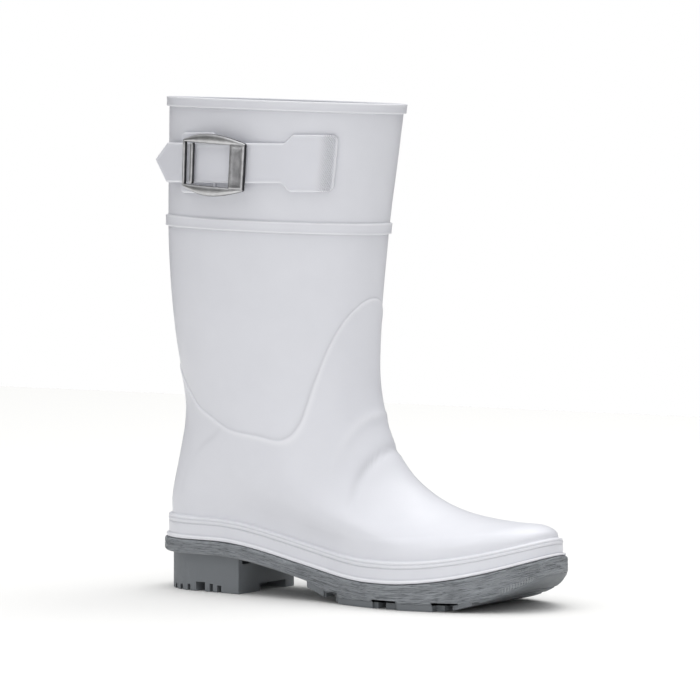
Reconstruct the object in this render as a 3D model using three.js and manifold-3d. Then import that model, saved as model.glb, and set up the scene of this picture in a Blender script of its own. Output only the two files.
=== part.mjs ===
// A youth's rubber rain boot, right foot, in millimetres: X to the toe, +Y to the inner side, Z up.
// The upper is a stack of rings around the last, from the feather line over the sole to the collar.
import * as THREE from "three";
import { mergeVertices } from "three/addons/utils/BufferGeometryUtils.js";
import Module from "manifold-3d";

const wasm = await Module();
wasm.setup();

// Driving sizes of the last and the shell
const soleLength = 238;
const ballWidth = 85;
const heelWidth = 58;
const footHeight = 72.2; // sole to the ankle
const shaftHeight = 162.6; // ankle to the back of the collar
const shaftLength = 137.4; // front to back at the collar
const shaftWidth = 90.4;
const wall = 2.2;
const gap = 0.35; // running gap between pieces that lie on each other

// Sole
const soleMargin = 4.2; // the sole's edge outside the last
const heelTop = 27.8;
const ballTop = 13;
const toeTop = 26.8;
const stripThickness = 7.5;
const stripRounding = 2.6; // height of the strip's rounded lower edge
const toeThickening = 1.2; // of the strip at the toe
const heelBlockInset = 4.6; // from the sole's edge
const heelBlockLength = 60; // sole's back end to the breast
const treadInset = 6;
const treadDepth = 3.2;
const waistRise = 9; // the tread under the waist above the floor
const toeSpring = 18;
const insoleThickness = 3.5;

// Steps in the wall
const lipHeight = 2;
const lipOut = 3.3;
const foxingHeight = 12;
const foxingOut = 2;
const cordOut = 2.6;
const rimHeight = 5;
const rimOut = 1.4;
const bandHeight = 5.5;
const bandOut = 1.3;
const bandBelowCollar = 62.9; // from the collar down to the ring band's upper edge
const moulded = 0.4; // height of a moulded step's slope
const seamWidth = 3.2;
const seamOut = 0.9;

// Strap and buckle, along the outer side of the shaft
const strapWidth = 21;
const strapThickness = 2;
const strapTip = 24; // length of the strap's free end
const padThickness = 1.6;
const frontPadHeight = 30;
const anchorHeight = 32;
const anchorAboveBand = 11.6; // from the ring band to the anchor's lower edge
const buckleLength = 41;
const buckleHeight = 32.4; // over the arched rails
const buckleEndHeight = 25;
const buckleWindow = 22; // its opening's height, straight all along
const buckleThickness = 2.4;
const buckleBow = 0.8; // how far its middle bows out
const buckleDrop = 1; // its middle below the strap's
const buckleTilt = 0.06; // its front end hangs lower
const endBarWidth = 1.6;
const secondBarWidth = 2.2;
const secondBarInset = 6; // from the end bar, middle to middle
const plateWidth = 8.6;
const plateThickness = 1.8;

const pointsAround = 56;

// One row for each ring of the last, from the sole to the ankle. back and front are shares of the sole's
// length, from its back end, at and over are shares of footHeight above the sole's heel and above its toe.
// heel, waist and ball are half widths as shares of ballWidth, heelRound and toeRound the lengths of the
// rounded ends as shares of soleLength. wave is how much of the sole's wave the ring keeps, flare how much
// of the last's bend.
const footColumns = "back at front over heelRound toeRound heel waist ball wave flare".split(" ");
const footRows = [
  [0.0135,      0,  0.982,      0, 0.112, 0.277, 0.306, 0.306, 0.458,    1,    1],
  [0.0132, 0.1662, 0.9797,  0.133, 0.114, 0.277,  0.31, 0.313, 0.456, 0.95,    1],
  [0.0128, 0.2216, 0.9725, 0.1885, 0.117, 0.269, 0.316,  0.32, 0.447,  0.9,    1],
  [0.0134, 0.2798, 0.9405, 0.2245, 0.122, 0.258, 0.325, 0.331, 0.433, 0.82,    1],
  [ 0.017, 0.3629,  0.885, 0.2299,  0.13, 0.255, 0.335, 0.348, 0.418, 0.72, 0.95],
  [0.0235, 0.4543,  0.824, 0.2445, 0.138,  0.26, 0.345, 0.365, 0.408,  0.6,  0.9],
  [  0.03, 0.5429,  0.763, 0.2752,  0.15, 0.265, 0.356,  0.38, 0.403,  0.5,  0.8],
  [0.0362,  0.633,  0.708, 0.3296, 0.164, 0.265, 0.367,  0.39, 0.398,  0.4,  0.7],
  [ 0.042,  0.723, 0.6595,   0.41, 0.183,  0.26, 0.382, 0.397, 0.395,  0.3,  0.6],
  [ 0.047,  0.813,  0.617, 0.5152, 0.204, 0.252, 0.393, 0.401, 0.395,  0.2,  0.5],
  [0.0495,  0.903,  0.582, 0.6565, 0.223, 0.243, 0.402, 0.404, 0.397,  0.1,  0.4],
  [0.0495,      1, 0.5545, 0.8338, 0.235, 0.237, 0.408, 0.408, 0.403, 0.04,  0.3],
].map((row) => Object.fromEntries(row.map((value, i) => [footColumns[i], value])));

// back is from the sole's back end as a share of soleLength, long and wide are shares of shaftLength and
// shaftWidth, at and over are shares of shaftHeight above the ankle.
const shaftRows = [
  { back: 0.0438, long: 0.857, wide: 0.785, at: 0.056, over: 0.006, flare: 0.2 },
  { back: 0.0335, long: 0.86, wide: 0.805, at: 0.13, over: 0.099, flare: 0.1 },
  { back: 0.0215, long: 0.883, wide: 0.84, at: 0.235, over: 0.217, flare: 0 },
  { back: 0.012, long: 0.91, wide: 0.883, at: 0.372, over: 0.353, flare: 0 },
  { back: 0.0072, long: 0.935, wide: 0.925, at: 0.527, over: 0.502, flare: 0 },
  { back: 0.0078, long: 0.95, wide: 0.952, at: 0.651, over: 0.626, flare: 0 },
  { back: 0.0105, long: 0.973, wide: 0.976, at: 0.805, over: 0.781, flare: 0 },
  { back: 0.0132, long: 1.0, wide: 1.0, at: 1.0, over: 0.969, flare: 0 },
];

const ankleHeight = heelTop + footHeight;

// Every ring in millimetres, with the same named columns for foot and shaft.
const rings = [
  ...footRows.map((r) => ({
    back: r.back * soleLength,
    front: r.front * soleLength,
    backZ: heelTop + r.at * footHeight,
    frontZ: toeTop + r.over * footHeight,
    heelRound: r.heelRound * soleLength,
    toeRound: r.toeRound * soleLength,
    heel: r.heel * ballWidth,
    waist: r.waist * ballWidth,
    ball: r.ball * ballWidth,
    wave: r.wave,
    flare: r.flare,
  })),
  ...shaftRows.map((r) => {
    const half = (r.long * shaftLength) / 2;
    const side = (r.wide * shaftWidth) / 2;
    return {
      back: r.back * soleLength,
      front: r.back * soleLength + 2 * half,
      backZ: ankleHeight + r.at * shaftHeight,
      frontZ: ankleHeight + r.over * shaftHeight,
      heelRound: half,
      toeRound: half,
      heel: side,
      waist: side,
      ball: side,
      wave: 0,
      flare: r.flare,
    };
  }),
];
const collar = rings.length - 1;
const ankle = footRows.length - 1;

const smooth = (t) => {
  const c = Math.min(Math.max(t, 0), 1);
  return c * c * (3 - 2 * c);
};

// Catmull-Rom between the rings, for any level from 0 at the feather line to collar at the top.
function ringAt(level) {
  const i = Math.min(Math.floor(level), collar - 1);
  const t = level - i;
  const [a, b, c, d] = [Math.max(i - 1, 0), i, i + 1, Math.min(i + 2, collar)].map((k) => rings[k]);
  const ring = {};
  for (const key of Object.keys(b)) {
    const start = (c[key] - a[key]) / 2;
    const end = (d[key] - b[key]) / 2;
    ring[key] =
      b[key] * (1 + 2 * t) * (1 - t) ** 2 +
      start * t * (1 - t) ** 2 +
      c[key] * t * t * (3 - 2 * t) +
      end * t * t * (t - 1);
  }
  return ring;
}

// Height of the sole's upper face along the length, share 0 at the back and 1 at the toe.
function soleTop(share) {
  const fall = smooth((share - 0.18) / 0.46);
  const rise = Math.max(share - 0.67, 0) / 0.33;
  return heelTop + (ballTop - heelTop) * fall + (toeTop - ballTop) * rise * rise;
}

const shareOf = (x) => (x - rings[0].back) / (rings[0].front - rings[0].back);

// How far the last's middle line bends from the straight one: out at the waist, in at the toe.
function bend(share) {
  const waist = smooth(share / 0.5) * (1 - smooth((share - 0.5) / 0.3));
  return ballWidth * (0.056 * smooth((share - 0.6) / 0.4) - 0.04 * waist);
}

// A point of the last's surface: angle 0 is the front, PI the back, sin above 0 the inner side.
function lastPoint(level, angle) {
  const r = ringAt(level);
  const share = (1 + Math.cos(angle)) / 2;
  const long = r.front - r.back;
  const fromFront = Math.min((long * (1 - share)) / r.toeRound, 1);
  const fromBack = Math.min((long * share) / r.heelRound, 1);
  const rounding = Math.sqrt(fromFront * (2 - fromFront) * fromBack * (2 - fromBack));
  const atWaist = smooth((share - 0.15) / 0.3);
  const atBall = smooth((share - 0.45) / 0.29);
  const width = r.heel + (r.waist - r.heel) * atWaist + (r.ball - r.waist) * atBall;
  const wave = soleTop(share) - heelTop - (toeTop - heelTop) * share;
  return new THREE.Vector3(
    r.back + long * share,
    r.flare * bend(share) + Math.sign(Math.sin(angle)) * width * rounding,
    r.backZ + (r.frontZ - r.backZ) * share + r.wave * wave,
  );
}

// The last's surface moved out along its own normal.
function shellPoint(level, angle, out) {
  const step = 0.02;
  const low = Math.max(level - step, 0);
  const high = Math.min(level + step, collar);
  const up = lastPoint(high, angle).sub(lastPoint(low, angle));
  const along = lastPoint(level, angle + step).sub(lastPoint(level, angle - step));
  const normal = along.cross(up).normalize();
  if (level <= 0) normal.setZ(0).normalize();
  const point = lastPoint(level, angle);
  const moved = point.clone().addScaledVector(normal, out);
  const keep = Math.max(1 - level, 0);
  moved.z += keep * (soleTop(shareOf(moved.x)) - soleTop(shareOf(point.x)));
  return moved;
}

// The level at which a ring's back point has a given height.
function levelAt(height) {
  let low = 0;
  let high = collar;
  while (high - low > 1e-4) {
    const middle = (low + high) / 2;
    if (ringAt(middle).backZ < height) low = middle;
    else high = middle;
  }
  return (low + high) / 2;
}

const angles = Array.from({ length: pointsAround }, (_, i) => (2 * Math.PI * i) / pointsAround);
const ringOf = (level, out) => angles.map((angle) => shellPoint(level, angle, out));

// Meshes are lists of vertices and triangles, turned into solids for joins and cuts.
function geometryOf(vertices, triangles) {
  const geometry = new THREE.BufferGeometry();
  const coordinates = vertices.flatMap((p) => p.toArray());
  geometry.setAttribute("position", new THREE.Float32BufferAttribute(coordinates, 3));
  geometry.setIndex(triangles.flat());
  return geometry;
}

function solidOf(geometry) {
  const bare = geometry.clone();
  bare.deleteAttribute("normal");
  bare.deleteAttribute("uv");
  const merged = mergeVertices(bare, 1e-4);
  return new wasm.Manifold(
    new wasm.Mesh({
      numProp: 3,
      vertProperties: merged.attributes.position.array,
      triVerts: new Uint32Array(merged.index.array),
    }),
  );
}

function geometryFrom(solid) {
  const mesh = solid.getMesh();
  const geometry = new THREE.BufferGeometry();
  geometry.setAttribute("position", new THREE.BufferAttribute(mesh.vertProperties, 3));
  geometry.setIndex(new THREE.BufferAttribute(mesh.triVerts, 1));
  return geometry;
}

// Walls between closed loops that follow each other, the last one joined to the first when closed is true.
function wallsOf(loops, closed) {
  const around = loops[0].length;
  const triangles = [];
  const last = closed ? loops.length : loops.length - 1;
  for (let row = 0; row < last; row++) {
    const next = (row + 1) % loops.length;
    for (let i = 0; i < around; i++) {
      const j = (i + 1) % around;
      triangles.push([row * around + i, row * around + j, next * around + j]);
      triangles.push([row * around + i, next * around + j, next * around + i]);
    }
  }
  return triangles;
}

// A ring runs from the front over the inner side, the back and the outer side, so that the points i and
// around - i lie across from each other and a flat face is a ladder of strips between them.
function ladder(first, around, up) {
  const triangles = [];
  const add = (a, b, c) => triangles.push(up ? [a, b, c] : [a, c, b]);
  for (let i = 0; i < around / 2; i++) {
    const [a, b] = [first + i, first + i + 1];
    const [c, d] = [first + ((around - i) % around), first + (around - i - 1)];
    if (a !== c) add(a, b, c);
    if (b !== d) add(b, d, c);
  }
  return triangles;
}

// A closed solid from a stack of rings, from the lowest to the highest.
function stackSolid(loops) {
  const around = loops[0].length;
  const triangles = [
    ...wallsOf(loops, false),
    ...ladder(0, around, false),
    ...ladder((loops.length - 1) * around, around, true),
  ];
  return geometryOf(loops.flat(), triangles);
}

// Upper

// The wall's outer profile: heights of the ring's back point above the floor and how far out it stands.
const feather = rings[0].backZ;
const collarZ = rings[collar].backZ;
const bandZ = collarZ - bandBelowCollar;
const outerSteps = [
  { z: feather, out: lipOut },
  { z: feather + lipHeight, out: lipOut },
  { z: feather + lipHeight + moulded, out: foxingOut },
  { z: feather + 0.7 * foxingHeight, out: foxingOut },
  { z: feather + 0.74 * foxingHeight, out: cordOut },
  { z: feather + 0.83 * foxingHeight, out: cordOut },
  { z: feather + 0.87 * foxingHeight, out: foxingOut },
  { z: feather + 0.97 * foxingHeight, out: foxingOut },
  { z: feather + foxingHeight + moulded / 2, out: 0 },
  ...rings.slice(2, -1).map((r) => ({ z: r.backZ, out: 0 })),
  { z: bandZ - bandHeight - moulded, out: 0 },
  { z: bandZ - bandHeight, out: bandOut },
  { z: bandZ, out: bandOut },
  { z: bandZ + moulded, out: 0 },
  { z: collarZ - rimHeight - moulded, out: 0 },
  { z: collarZ - rimHeight, out: rimOut },
  { z: collarZ - moulded, out: rimOut },
  { z: collarZ, out: rimOut - moulded },
].sort((a, b) => a.z - b.z);

const innerLevels = [collar, collar - 2, collar - 4, ankle + 2, ankle + 1, ankle, ankle - 1, ankle - 2]
  .concat([ankle - 3, ankle - 4, ankle - 5, ankle - 7, ankle - 9, 1, 0]);

const upperLoops = [
  ...outerSteps.map((step) => ringOf(levelAt(step.z), step.out)),
  ...innerLevels.map((level) => ringOf(level, -wall)),
];
const shell = geometryOf(upperLoops.flat(), wallsOf(upperLoops, true));

// The raised seam runs round the boot: high at the front and the back, low on both sides of the ankle.
const seamRows = [
  { turn: 0, rise: 0.372 },
  { turn: 0.08, rise: 0.345 },
  { turn: 0.154, rise: 0.283 },
  { turn: 0.206, rise: 0.205 },
  { turn: 0.249, rise: 0.127 },
  { turn: 0.283, rise: 0.07 },
  { turn: 0.318, rise: 0.022 },
  { turn: 0.355, rise: -0.01 },
  { turn: 0.4, rise: -0.03 },
  { turn: 0.48, rise: -0.033 },
  { turn: 0.59, rise: -0.031 },
  { turn: 0.64, rise: -0.016 },
  { turn: 0.7, rise: 0.002 },
  { turn: 0.78, rise: 0.058 },
  { turn: 0.86, rise: 0.108 },
  { turn: 0.93, rise: 0.132 },
  { turn: 1, rise: 0.138 },
];
const seamCurve = new THREE.CatmullRomCurve3(
  seamRows.map((r) => new THREE.Vector3(r.turn, r.rise, 0)),
);

function seamRing(out, side) {
  const stations = 48;
  const halves = [1, -1].map((sign) =>
    Array.from({ length: stations }, (_, i) => {
      const t = sign > 0 ? i / stations : 1 - i / stations;
      const p = seamCurve.getPoint(t);
      const ahead = seamCurve.getTangent(t);
      const height = ankleHeight + p.y * shaftHeight;
      const across = (side * seamWidth) / 2;
      const lean = Math.atan2(ahead.y * shaftHeight, ahead.x * shaftLength);
      const turn = p.x + (across * Math.sin(-lean)) / shaftLength;
      return shellPoint(levelAt(height + across * Math.cos(lean)), sign * turn * Math.PI, out);
    }),
  );
  return halves.flat();
}
const seamLoops = [seamRing(-1, -1), seamRing(seamOut * 0.3, -1), seamRing(seamOut, -0.35)]
  .concat([seamRing(seamOut, 0.35), seamRing(seamOut * 0.3, 1), seamRing(-1, 1)]);
const seam = geometryOf(seamLoops.flat(), wallsOf(seamLoops, true));
const upper = geometryFrom(solidOf(shell).add(solidOf(seam)));

// Outsole

// The forefoot's tread gets thinner towards the toe.
const treadDepthAt = (x) => treadDepth * (1 - 0.75 * smooth((x / soleLength - 0.78) / 0.14));

// Height of the tread's lower face, flat under the forefoot.
function treadBottom(x) {
  const waist = 1 - smooth((x / soleLength - 0.4) / 0.16);
  const toe = Math.max(x / soleLength - 0.8, 0) / 0.2;
  return waistRise * waist + (toeSpring - 0.25 * treadDepth) * toe * toe + treadDepth - treadDepthAt(x);
}

const soleOutline = (out) => angles.map((angle) => shellPoint(0, angle, out));
const soleRing = (out, heightOf) => soleOutline(out).map((p) => new THREE.Vector3(p.x, p.y, heightOf(p.x)));
const topOf = (x) => soleTop(shareOf(x)) - gap;
const underside = (x) => {
  const strip = topOf(x) - stripThickness - toeThickening * smooth((x / soleLength - 0.8) / 0.2);
  const tread = treadBottom(x) + treadDepthAt(x);
  return strip + (Math.min(tread, strip) - strip) * smooth((x / soleLength - 0.38) / 0.12);
};
const plate = stackSolid([
  soleRing(soleMargin - 0.75 * stripRounding, underside),
  soleRing(soleMargin - 0.25 * stripRounding, (x) => underside(x) + 0.3 * stripRounding),
  soleRing(soleMargin, (x) => underside(x) + stripRounding),
  soleRing(soleMargin, (x) => topOf(x) - 0.5 * stripRounding),
  soleRing(soleMargin - 0.25 * stripRounding, topOf),
]);

// A stack clipped between two cross planes of the sole.
function between(solid, from, to) {
  const box = new THREE.BoxGeometry(to - from, 2 * ballWidth, 4 * heelTop);
  box.translate((from + to) / 2, 0, 0);
  return solid.intersect(solidOf(box));
}

function boxSolid(from, to) {
  const box = new THREE.BoxGeometry(to.x - from.x, to.y - from.y, to.z - from.z);
  box.translate((from.x + to.x) / 2, (from.y + to.y) / 2, (from.z + to.z) / 2);
  return solidOf(box);
}

const heelStack = stackSolid([
  soleRing(soleMargin - heelBlockInset, () => 0),
  soleRing(soleMargin - heelBlockInset, () => 0.69 * heelTop),
  soleRing(soleMargin - 0.65 * heelBlockInset, (x) => topOf(x) - 0.9 * stripThickness),
]);
let heelBlock = between(solidOf(heelStack), 0, heelBlockLength);

// Tread notches in the heel's sides: where they start and end along it, as shares of its length, and their
// height as a share of the heel's.
const heelNotches = [
  { from: 0.233, to: 0.267, high: 0.094 },
  { from: 0.325, to: 0.358, high: 0.108 },
  { from: 0.425, to: 0.458, high: 0.122 },
  { from: 0.525, to: 0.625, high: 0.18 },
  { from: 0.675, to: 0.713, high: 0.158 },
  { from: 0.76, to: 0.807, high: 0.137 },
];
const notchDepth = 0.12 * heelWidth;
for (const notch of heelNotches) {
  for (const side of [-1, 1]) {
    const edgeY = side * (heelWidth / 2 - heelBlockInset);
    heelBlock = heelBlock.subtract(
      boxSolid(
        { x: notch.from * heelBlockLength, y: edgeY - notchDepth, z: -1 },
        { x: notch.to * heelBlockLength, y: edgeY + notchDepth, z: notch.high * heelTop },
      ),
    );
  }
}
const breastMiddle = 0.07 * heelWidth;
const breastHollow = { wide: 0.41 * heelWidth, high: 0.15 * heelTop, deep: 0.2 * heelBlockLength };
heelBlock = heelBlock.subtract(
  boxSolid(
    { x: heelBlockLength - breastHollow.deep, y: breastMiddle - breastHollow.wide / 2, z: -1 },
    { x: heelBlockLength + 1, y: breastMiddle + breastHollow.wide / 2, z: breastHollow.high },
  ),
);

const treadStack = stackSolid([
  soleRing(soleMargin - treadInset, treadBottom),
  soleRing(soleMargin - 0.83 * treadInset, (x) => underside(x) + 0.5 * treadDepth),
]);
const treadFrom = 0.45 * soleLength;
let tread = between(solidOf(treadStack), treadFrom, soleLength);

// Grooves between the forefoot's lugs, from and to along the sole as shares of its length.
const grooves = [
  { from: 0.5, to: 0.525 },
  { from: 0.563, to: 0.58 },
  { from: 0.639, to: 0.66 },
  { from: 0.718, to: 0.739 },
  { from: 0.807, to: 0.828 },
  { from: 0.878, to: 0.895 },
];
for (const groove of grooves) {
  const [from, to] = [groove.from * soleLength, groove.to * soleLength];
  const top = treadBottom((from + to) / 2) + treadDepthAt((from + to) / 2);
  tread = tread.subtract(boxSolid({ x: from, y: -ballWidth, z: -1 }, { x: to, y: ballWidth, z: top }));
}

// Recesses in the forefoot's sides, high as a share of the strip's thickness.
const recesses = [
  { from: 0.504, to: 0.55, high: 0.27 },
  { from: 0.651, to: 0.727, high: 0.29 },
  { from: 0.807, to: 0.866, high: 0.29 },
];
let sole = solidOf(plate).add(heelBlock).add(tread);
for (const recess of recesses) {
  const [from, to] = [recess.from * soleLength, recess.to * soleLength];
  const top = underside((from + to) / 2) + recess.high * stripThickness;
  for (const side of [-1, 1]) {
    const [near, far] = [side * ballWidth * 0.4, side * ballWidth];
    sole = sole.subtract(
      boxSolid({ x: from, y: Math.min(near, far), z: -1 }, { x: to, y: Math.max(near, far), z: top }),
    );
  }
}
const outsole = geometryFrom(sole);

// Insole, inside the wall on the sole's upper face
const insole = stackSolid(
  [feather + gap / 2, feather + insoleThickness].map((z) => ringOf(levelAt(z), -wall - gap)),
);

// Strap and buckle

const strapZ = bandZ + anchorAboveBand + anchorHeight / 2;

// A point beside the shaft: turn is the angle from the front round the outer side, rise the height from the
// middle of the strap, out the distance from the wall. The rings fall to the front, and the strap is level.
const ringFall = rings[collar - 1].backZ - rings[collar - 1].frontZ;
function sidePoint(turn, rise, out) {
  const share = (1 + Math.cos(turn)) / 2;
  return shellPoint(levelAt(strapZ + rise + ringFall * share), -turn, out);
}

// A strip that lies on the shaft, as a solid: each station has a lower and an upper rise, and places a point.
function stripSolid(stations, thickness, rowsUp) {
  const inner = stations.map((s) =>
    Array.from({ length: rowsUp + 1 }, (_, k) => s.place(s.low + ((s.high - s.low) * k) / rowsUp, 0)),
  );
  const outer = stations.map((s) =>
    Array.from({ length: rowsUp + 1 }, (_, k) => {
      const rounded = k === 0 || k === rowsUp ? 0.6 : 1;
      return s.place(s.low + ((s.high - s.low) * k) / rowsUp, thickness * rounded);
    }),
  );
  const loops = stations.map((_, i) => [...outer[i], ...inner[i].slice().reverse()]);
  const around = loops[0].length;
  const triangles = wallsOf(loops, false);
  const cap = (row, flip) => {
    for (let k = 0; k < rowsUp; k++) {
      const [a, b] = [row * around + k, row * around + k + 1];
      const [c, d] = [row * around + around - 1 - k, row * around + around - 2 - k];
      triangles.push(flip ? [a, b, c] : [a, c, b]);
      triangles.push(flip ? [b, d, c] : [b, c, d]);
    }
  };
  cap(0, false);
  cap(stations.length - 1, true);
  return geometryOf(loops.flat(), triangles);
}

const degrees = Math.PI / 180;
const anchorOut = gap;
const strapOver = anchorOut + padThickness + gap;

// The front pad lies on the wall, then the strap climbs over the anchor pad, and its end stands off straight.
const freeFrom = 124 * degrees;
function strapPlace(turn, extra) {
  const climb = smooth((turn / degrees - 70) / 16);
  const base = gap + (strapOver - gap) * climb;
  return (rise, out) => {
    if (turn <= freeFrom) return sidePoint(turn, rise, base + out);
    const start = sidePoint(freeFrom, rise, base + out);
    const ahead = sidePoint(freeFrom + 0.02, rise, base + out).sub(start).setZ(0).normalize();
    return start.addScaledVector(ahead, extra);
  };
}
const padRows = [
  { turn: 38, half: 0.72 },
  { turn: 39.5, half: 0.9 },
  { turn: 42, half: 1 },
  { turn: 48, half: 1 },
  { turn: 54, half: 1 },
  { turn: 60, half: 1 },
  { turn: 64, half: 0.94 },
  { turn: 67.5, half: strapWidth / frontPadHeight },
];
const strapStations = [
  ...padRows.map((r) => ({ turn: r.turn * degrees, half: (r.half * frontPadHeight) / 2, extra: 0 })),
  ...Array.from({ length: 10 }, (_, i) => ({
    turn: (73 + (51 * i) / 9) * degrees,
    half: strapWidth / 2,
    extra: 0,
  })),
  { turn: freeFrom + 0.01, half: strapWidth / 2, extra: strapTip * 0.35 },
  { turn: freeFrom + 0.01, half: strapWidth / 2 - 0.4, extra: strapTip * 0.62 },
  { turn: freeFrom + 0.01, half: strapWidth * 0.24, extra: strapTip * 0.88 },
  { turn: freeFrom + 0.01, half: strapWidth * 0.08, extra: strapTip },
].map((s) => ({ low: -s.half, high: s.half, place: strapPlace(s.turn, s.extra) }));
const strap = stripSolid(strapStations, strapThickness, 4);

const anchorRows = [
  { turn: 99, half: 0.9 },
  { turn: 101, half: 1 },
  { turn: 107, half: 1 },
  { turn: 113, half: 1 },
  { turn: 119, half: 1 },
  { turn: 122.5, half: 0.96 },
  { turn: 124.5, half: 0.86 },
];
const anchorStations = anchorRows.map((r) => ({
  low: (-r.half * anchorHeight) / 2,
  high: (r.half * anchorHeight) / 2,
  place: (rise, out) => sidePoint(r.turn * degrees, rise, anchorOut + out),
}));
const anchor = stripSolid(anchorStations, padThickness, 4);

// Buckle: along is the length round the shaft from its middle, to the back.
const buckleTurn = 98.5 * degrees;
const sideRadius = 0.484 * shaftLength; // of the shaft's curve under the buckle
const rideOut = strapOver + strapThickness + gap + buckleThickness / 2;
const bucklePoint = (along, rise, out) =>
  sidePoint(buckleTurn + along / sideRadius, rise - buckleDrop + buckleTilt * along, rideOut + out);

// A domed bar along a path of points {along, rise, out, half}, half its half width there, closed into a loop
// or capped at both ends.
function barSolid(path, thickness, closed) {
  const sides = 8;
  const loops = path.map((p, i) => {
    const before = path[(i - 1 + path.length) % path.length];
    const after = path[(i + 1) % path.length];
    const a = closed || i > 0 ? before : p;
    const b = closed || i < path.length - 1 ? after : p;
    const [da, dr] = [b.along - a.along, b.rise - a.rise];
    const size = Math.hypot(da, dr);
    return Array.from({ length: sides }, (_, k) => {
      const angle = -(2 * Math.PI * k) / sides - Math.PI / sides;
      const across = p.half * Math.cos(angle);
      return bucklePoint(
        p.along - (across * dr) / size,
        p.rise + (across * da) / size,
        p.out + (thickness / 2) * Math.sin(angle),
      );
    });
  });
  const triangles = wallsOf(loops, closed);
  if (!closed) {
    for (let k = 1; k < sides - 1; k++) {
      const end = (loops.length - 1) * sides;
      triangles.push([0, k + 1, k], [end, end + k, end + k + 1]);
    }
  }
  return geometryOf(loops.flat(), triangles);
}

// The frame's loop: narrow end bars, and crescent rails that are straight inside and arched outside.
const halfLength = (buckleLength - endBarWidth) / 2;
const archAt = (along) => Math.cos(((along / halfLength) * Math.PI) / 2);
const railInside = buckleWindow / 2;
const railOutside = (along) => buckleEndHeight / 2 + ((buckleHeight - buckleEndHeight) / 2) * archAt(along);
const railSteps = 12;
const railOf = (sign) =>
  Array.from({ length: railSteps + 1 }, (_, i) => {
    const along = sign * halfLength * ((2 * i) / railSteps - 1);
    const outside = railOutside(along);
    return {
      along,
      rise: (-sign * (railInside + outside)) / 2,
      out: buckleBow * archAt(along),
      half: (outside - railInside) / 2,
    };
  });
const frameLoop = [...railOf(1), ...railOf(-1)];
const frameSolid = solidOf(barSolid(frameLoop, buckleThickness, true));

// The wide plate at the frame's front end lies over the strap.
const plateStations = [0, 1, 2, 3].map((i) => {
  const along = -halfLength + (plateWidth * i) / 3;
  const half = (buckleWindow + endBarWidth) / 2;
  return {
    low: -half,
    high: half,
    place: (rise, out) => bucklePoint(along, rise, out - plateThickness / 2),
  };
});
const plateSolid = solidOf(stripSolid(plateStations, plateThickness, 4));
const buckle = geometryFrom(frameSolid.add(plateSolid));

// The second bar inside the back end, its ends just short of the rails.
const secondBarAlong = halfLength - secondBarInset;
const barEnd = railInside - gap;
const barPath = [-1, -0.33, 0.33, 1].map((k) => ({
  along: secondBarAlong,
  rise: k * barEnd,
  out: 0,
  half: secondBarWidth / 2,
}));
const buckleBar = barSolid(barPath, secondBarWidth, false);

// The group: each piece with its colour, the origin at the middle of the footprint on the floor
const white = { color: 0xe6e7ec, roughness: 0.42, metalness: 0 };
const grey = { color: 0x77797d, roughness: 0.7, metalness: 0 };
const metal = { color: 0x8b8983, roughness: 0.35, metalness: 1 };
const felt = { color: 0xb9bbbf, roughness: 0.95, metalness: 0 };
const pieces = {
  upper: [upper, white],
  outsole: [outsole, grey],
  insole: [insole, felt],
  strap: [strap, white],
  strap_anchor: [anchor, white],
  buckle: [buckle, metal],
  buckle_bar: [buckleBar, metal],
};

const boot = new THREE.Group();
for (const [name, [geometry, look]] of Object.entries(pieces)) {
  const mesh = new THREE.Mesh(geometry, new THREE.MeshStandardMaterial(look));
  mesh.name = name;
  boot.add(mesh);
}
const bounds = new THREE.Box3().setFromObject(boot);
const middle = bounds.getCenter(new THREE.Vector3());
boot.position.set(-middle.x, -middle.y, -bounds.min.z);

export default boot;
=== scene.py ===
# %% [markdown]
# # A youth's rubber rain boot
# The boot was first drawn as CAD solids. This script loads them as a fixed frame and dresses them: the
# white moulded upper with its seams and folds, the grey sole with its grain, the strap and the pewter
# buckle. Sizes are in millimetres, as a boot maker would write them, and each mesh is scaled to metres at
# its end.

# %% Load the frame
import math

import bmesh
import bpy
import numpy as np
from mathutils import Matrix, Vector, noise


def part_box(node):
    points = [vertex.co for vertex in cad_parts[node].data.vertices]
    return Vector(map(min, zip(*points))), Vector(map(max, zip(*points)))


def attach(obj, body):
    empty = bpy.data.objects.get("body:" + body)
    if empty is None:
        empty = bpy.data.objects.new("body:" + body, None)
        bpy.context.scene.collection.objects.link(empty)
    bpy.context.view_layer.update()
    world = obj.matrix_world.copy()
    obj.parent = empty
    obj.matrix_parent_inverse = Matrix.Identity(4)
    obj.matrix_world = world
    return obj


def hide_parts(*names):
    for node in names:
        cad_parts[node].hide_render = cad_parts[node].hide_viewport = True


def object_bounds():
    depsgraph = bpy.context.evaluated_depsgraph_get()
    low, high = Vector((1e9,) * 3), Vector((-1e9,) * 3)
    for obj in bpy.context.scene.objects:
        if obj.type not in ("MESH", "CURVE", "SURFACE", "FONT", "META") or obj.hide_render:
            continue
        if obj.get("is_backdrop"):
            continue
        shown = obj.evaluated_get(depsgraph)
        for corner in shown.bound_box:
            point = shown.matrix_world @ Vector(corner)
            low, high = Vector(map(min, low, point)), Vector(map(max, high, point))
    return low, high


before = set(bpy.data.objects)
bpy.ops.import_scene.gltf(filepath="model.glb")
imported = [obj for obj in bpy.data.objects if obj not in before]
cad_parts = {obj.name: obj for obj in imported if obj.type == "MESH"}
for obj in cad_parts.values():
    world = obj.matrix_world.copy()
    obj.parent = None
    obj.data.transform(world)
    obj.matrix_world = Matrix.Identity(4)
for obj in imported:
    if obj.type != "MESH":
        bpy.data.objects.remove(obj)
cad_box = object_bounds()
print("CAD nodes:", sorted(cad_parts))
print("CAD box in metres:", [[round(x, 4) for x in corner] for corner in cad_box])

# %% [markdown]
# ## Camera
# The photograph was taken from far away with a long lens, a little below the height of the collar, and
# from 34 degrees towards the toe. A long lens keeps upright edges parallel, so the camera stands 2.1 m off
# and the focal length does the rest.

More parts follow.
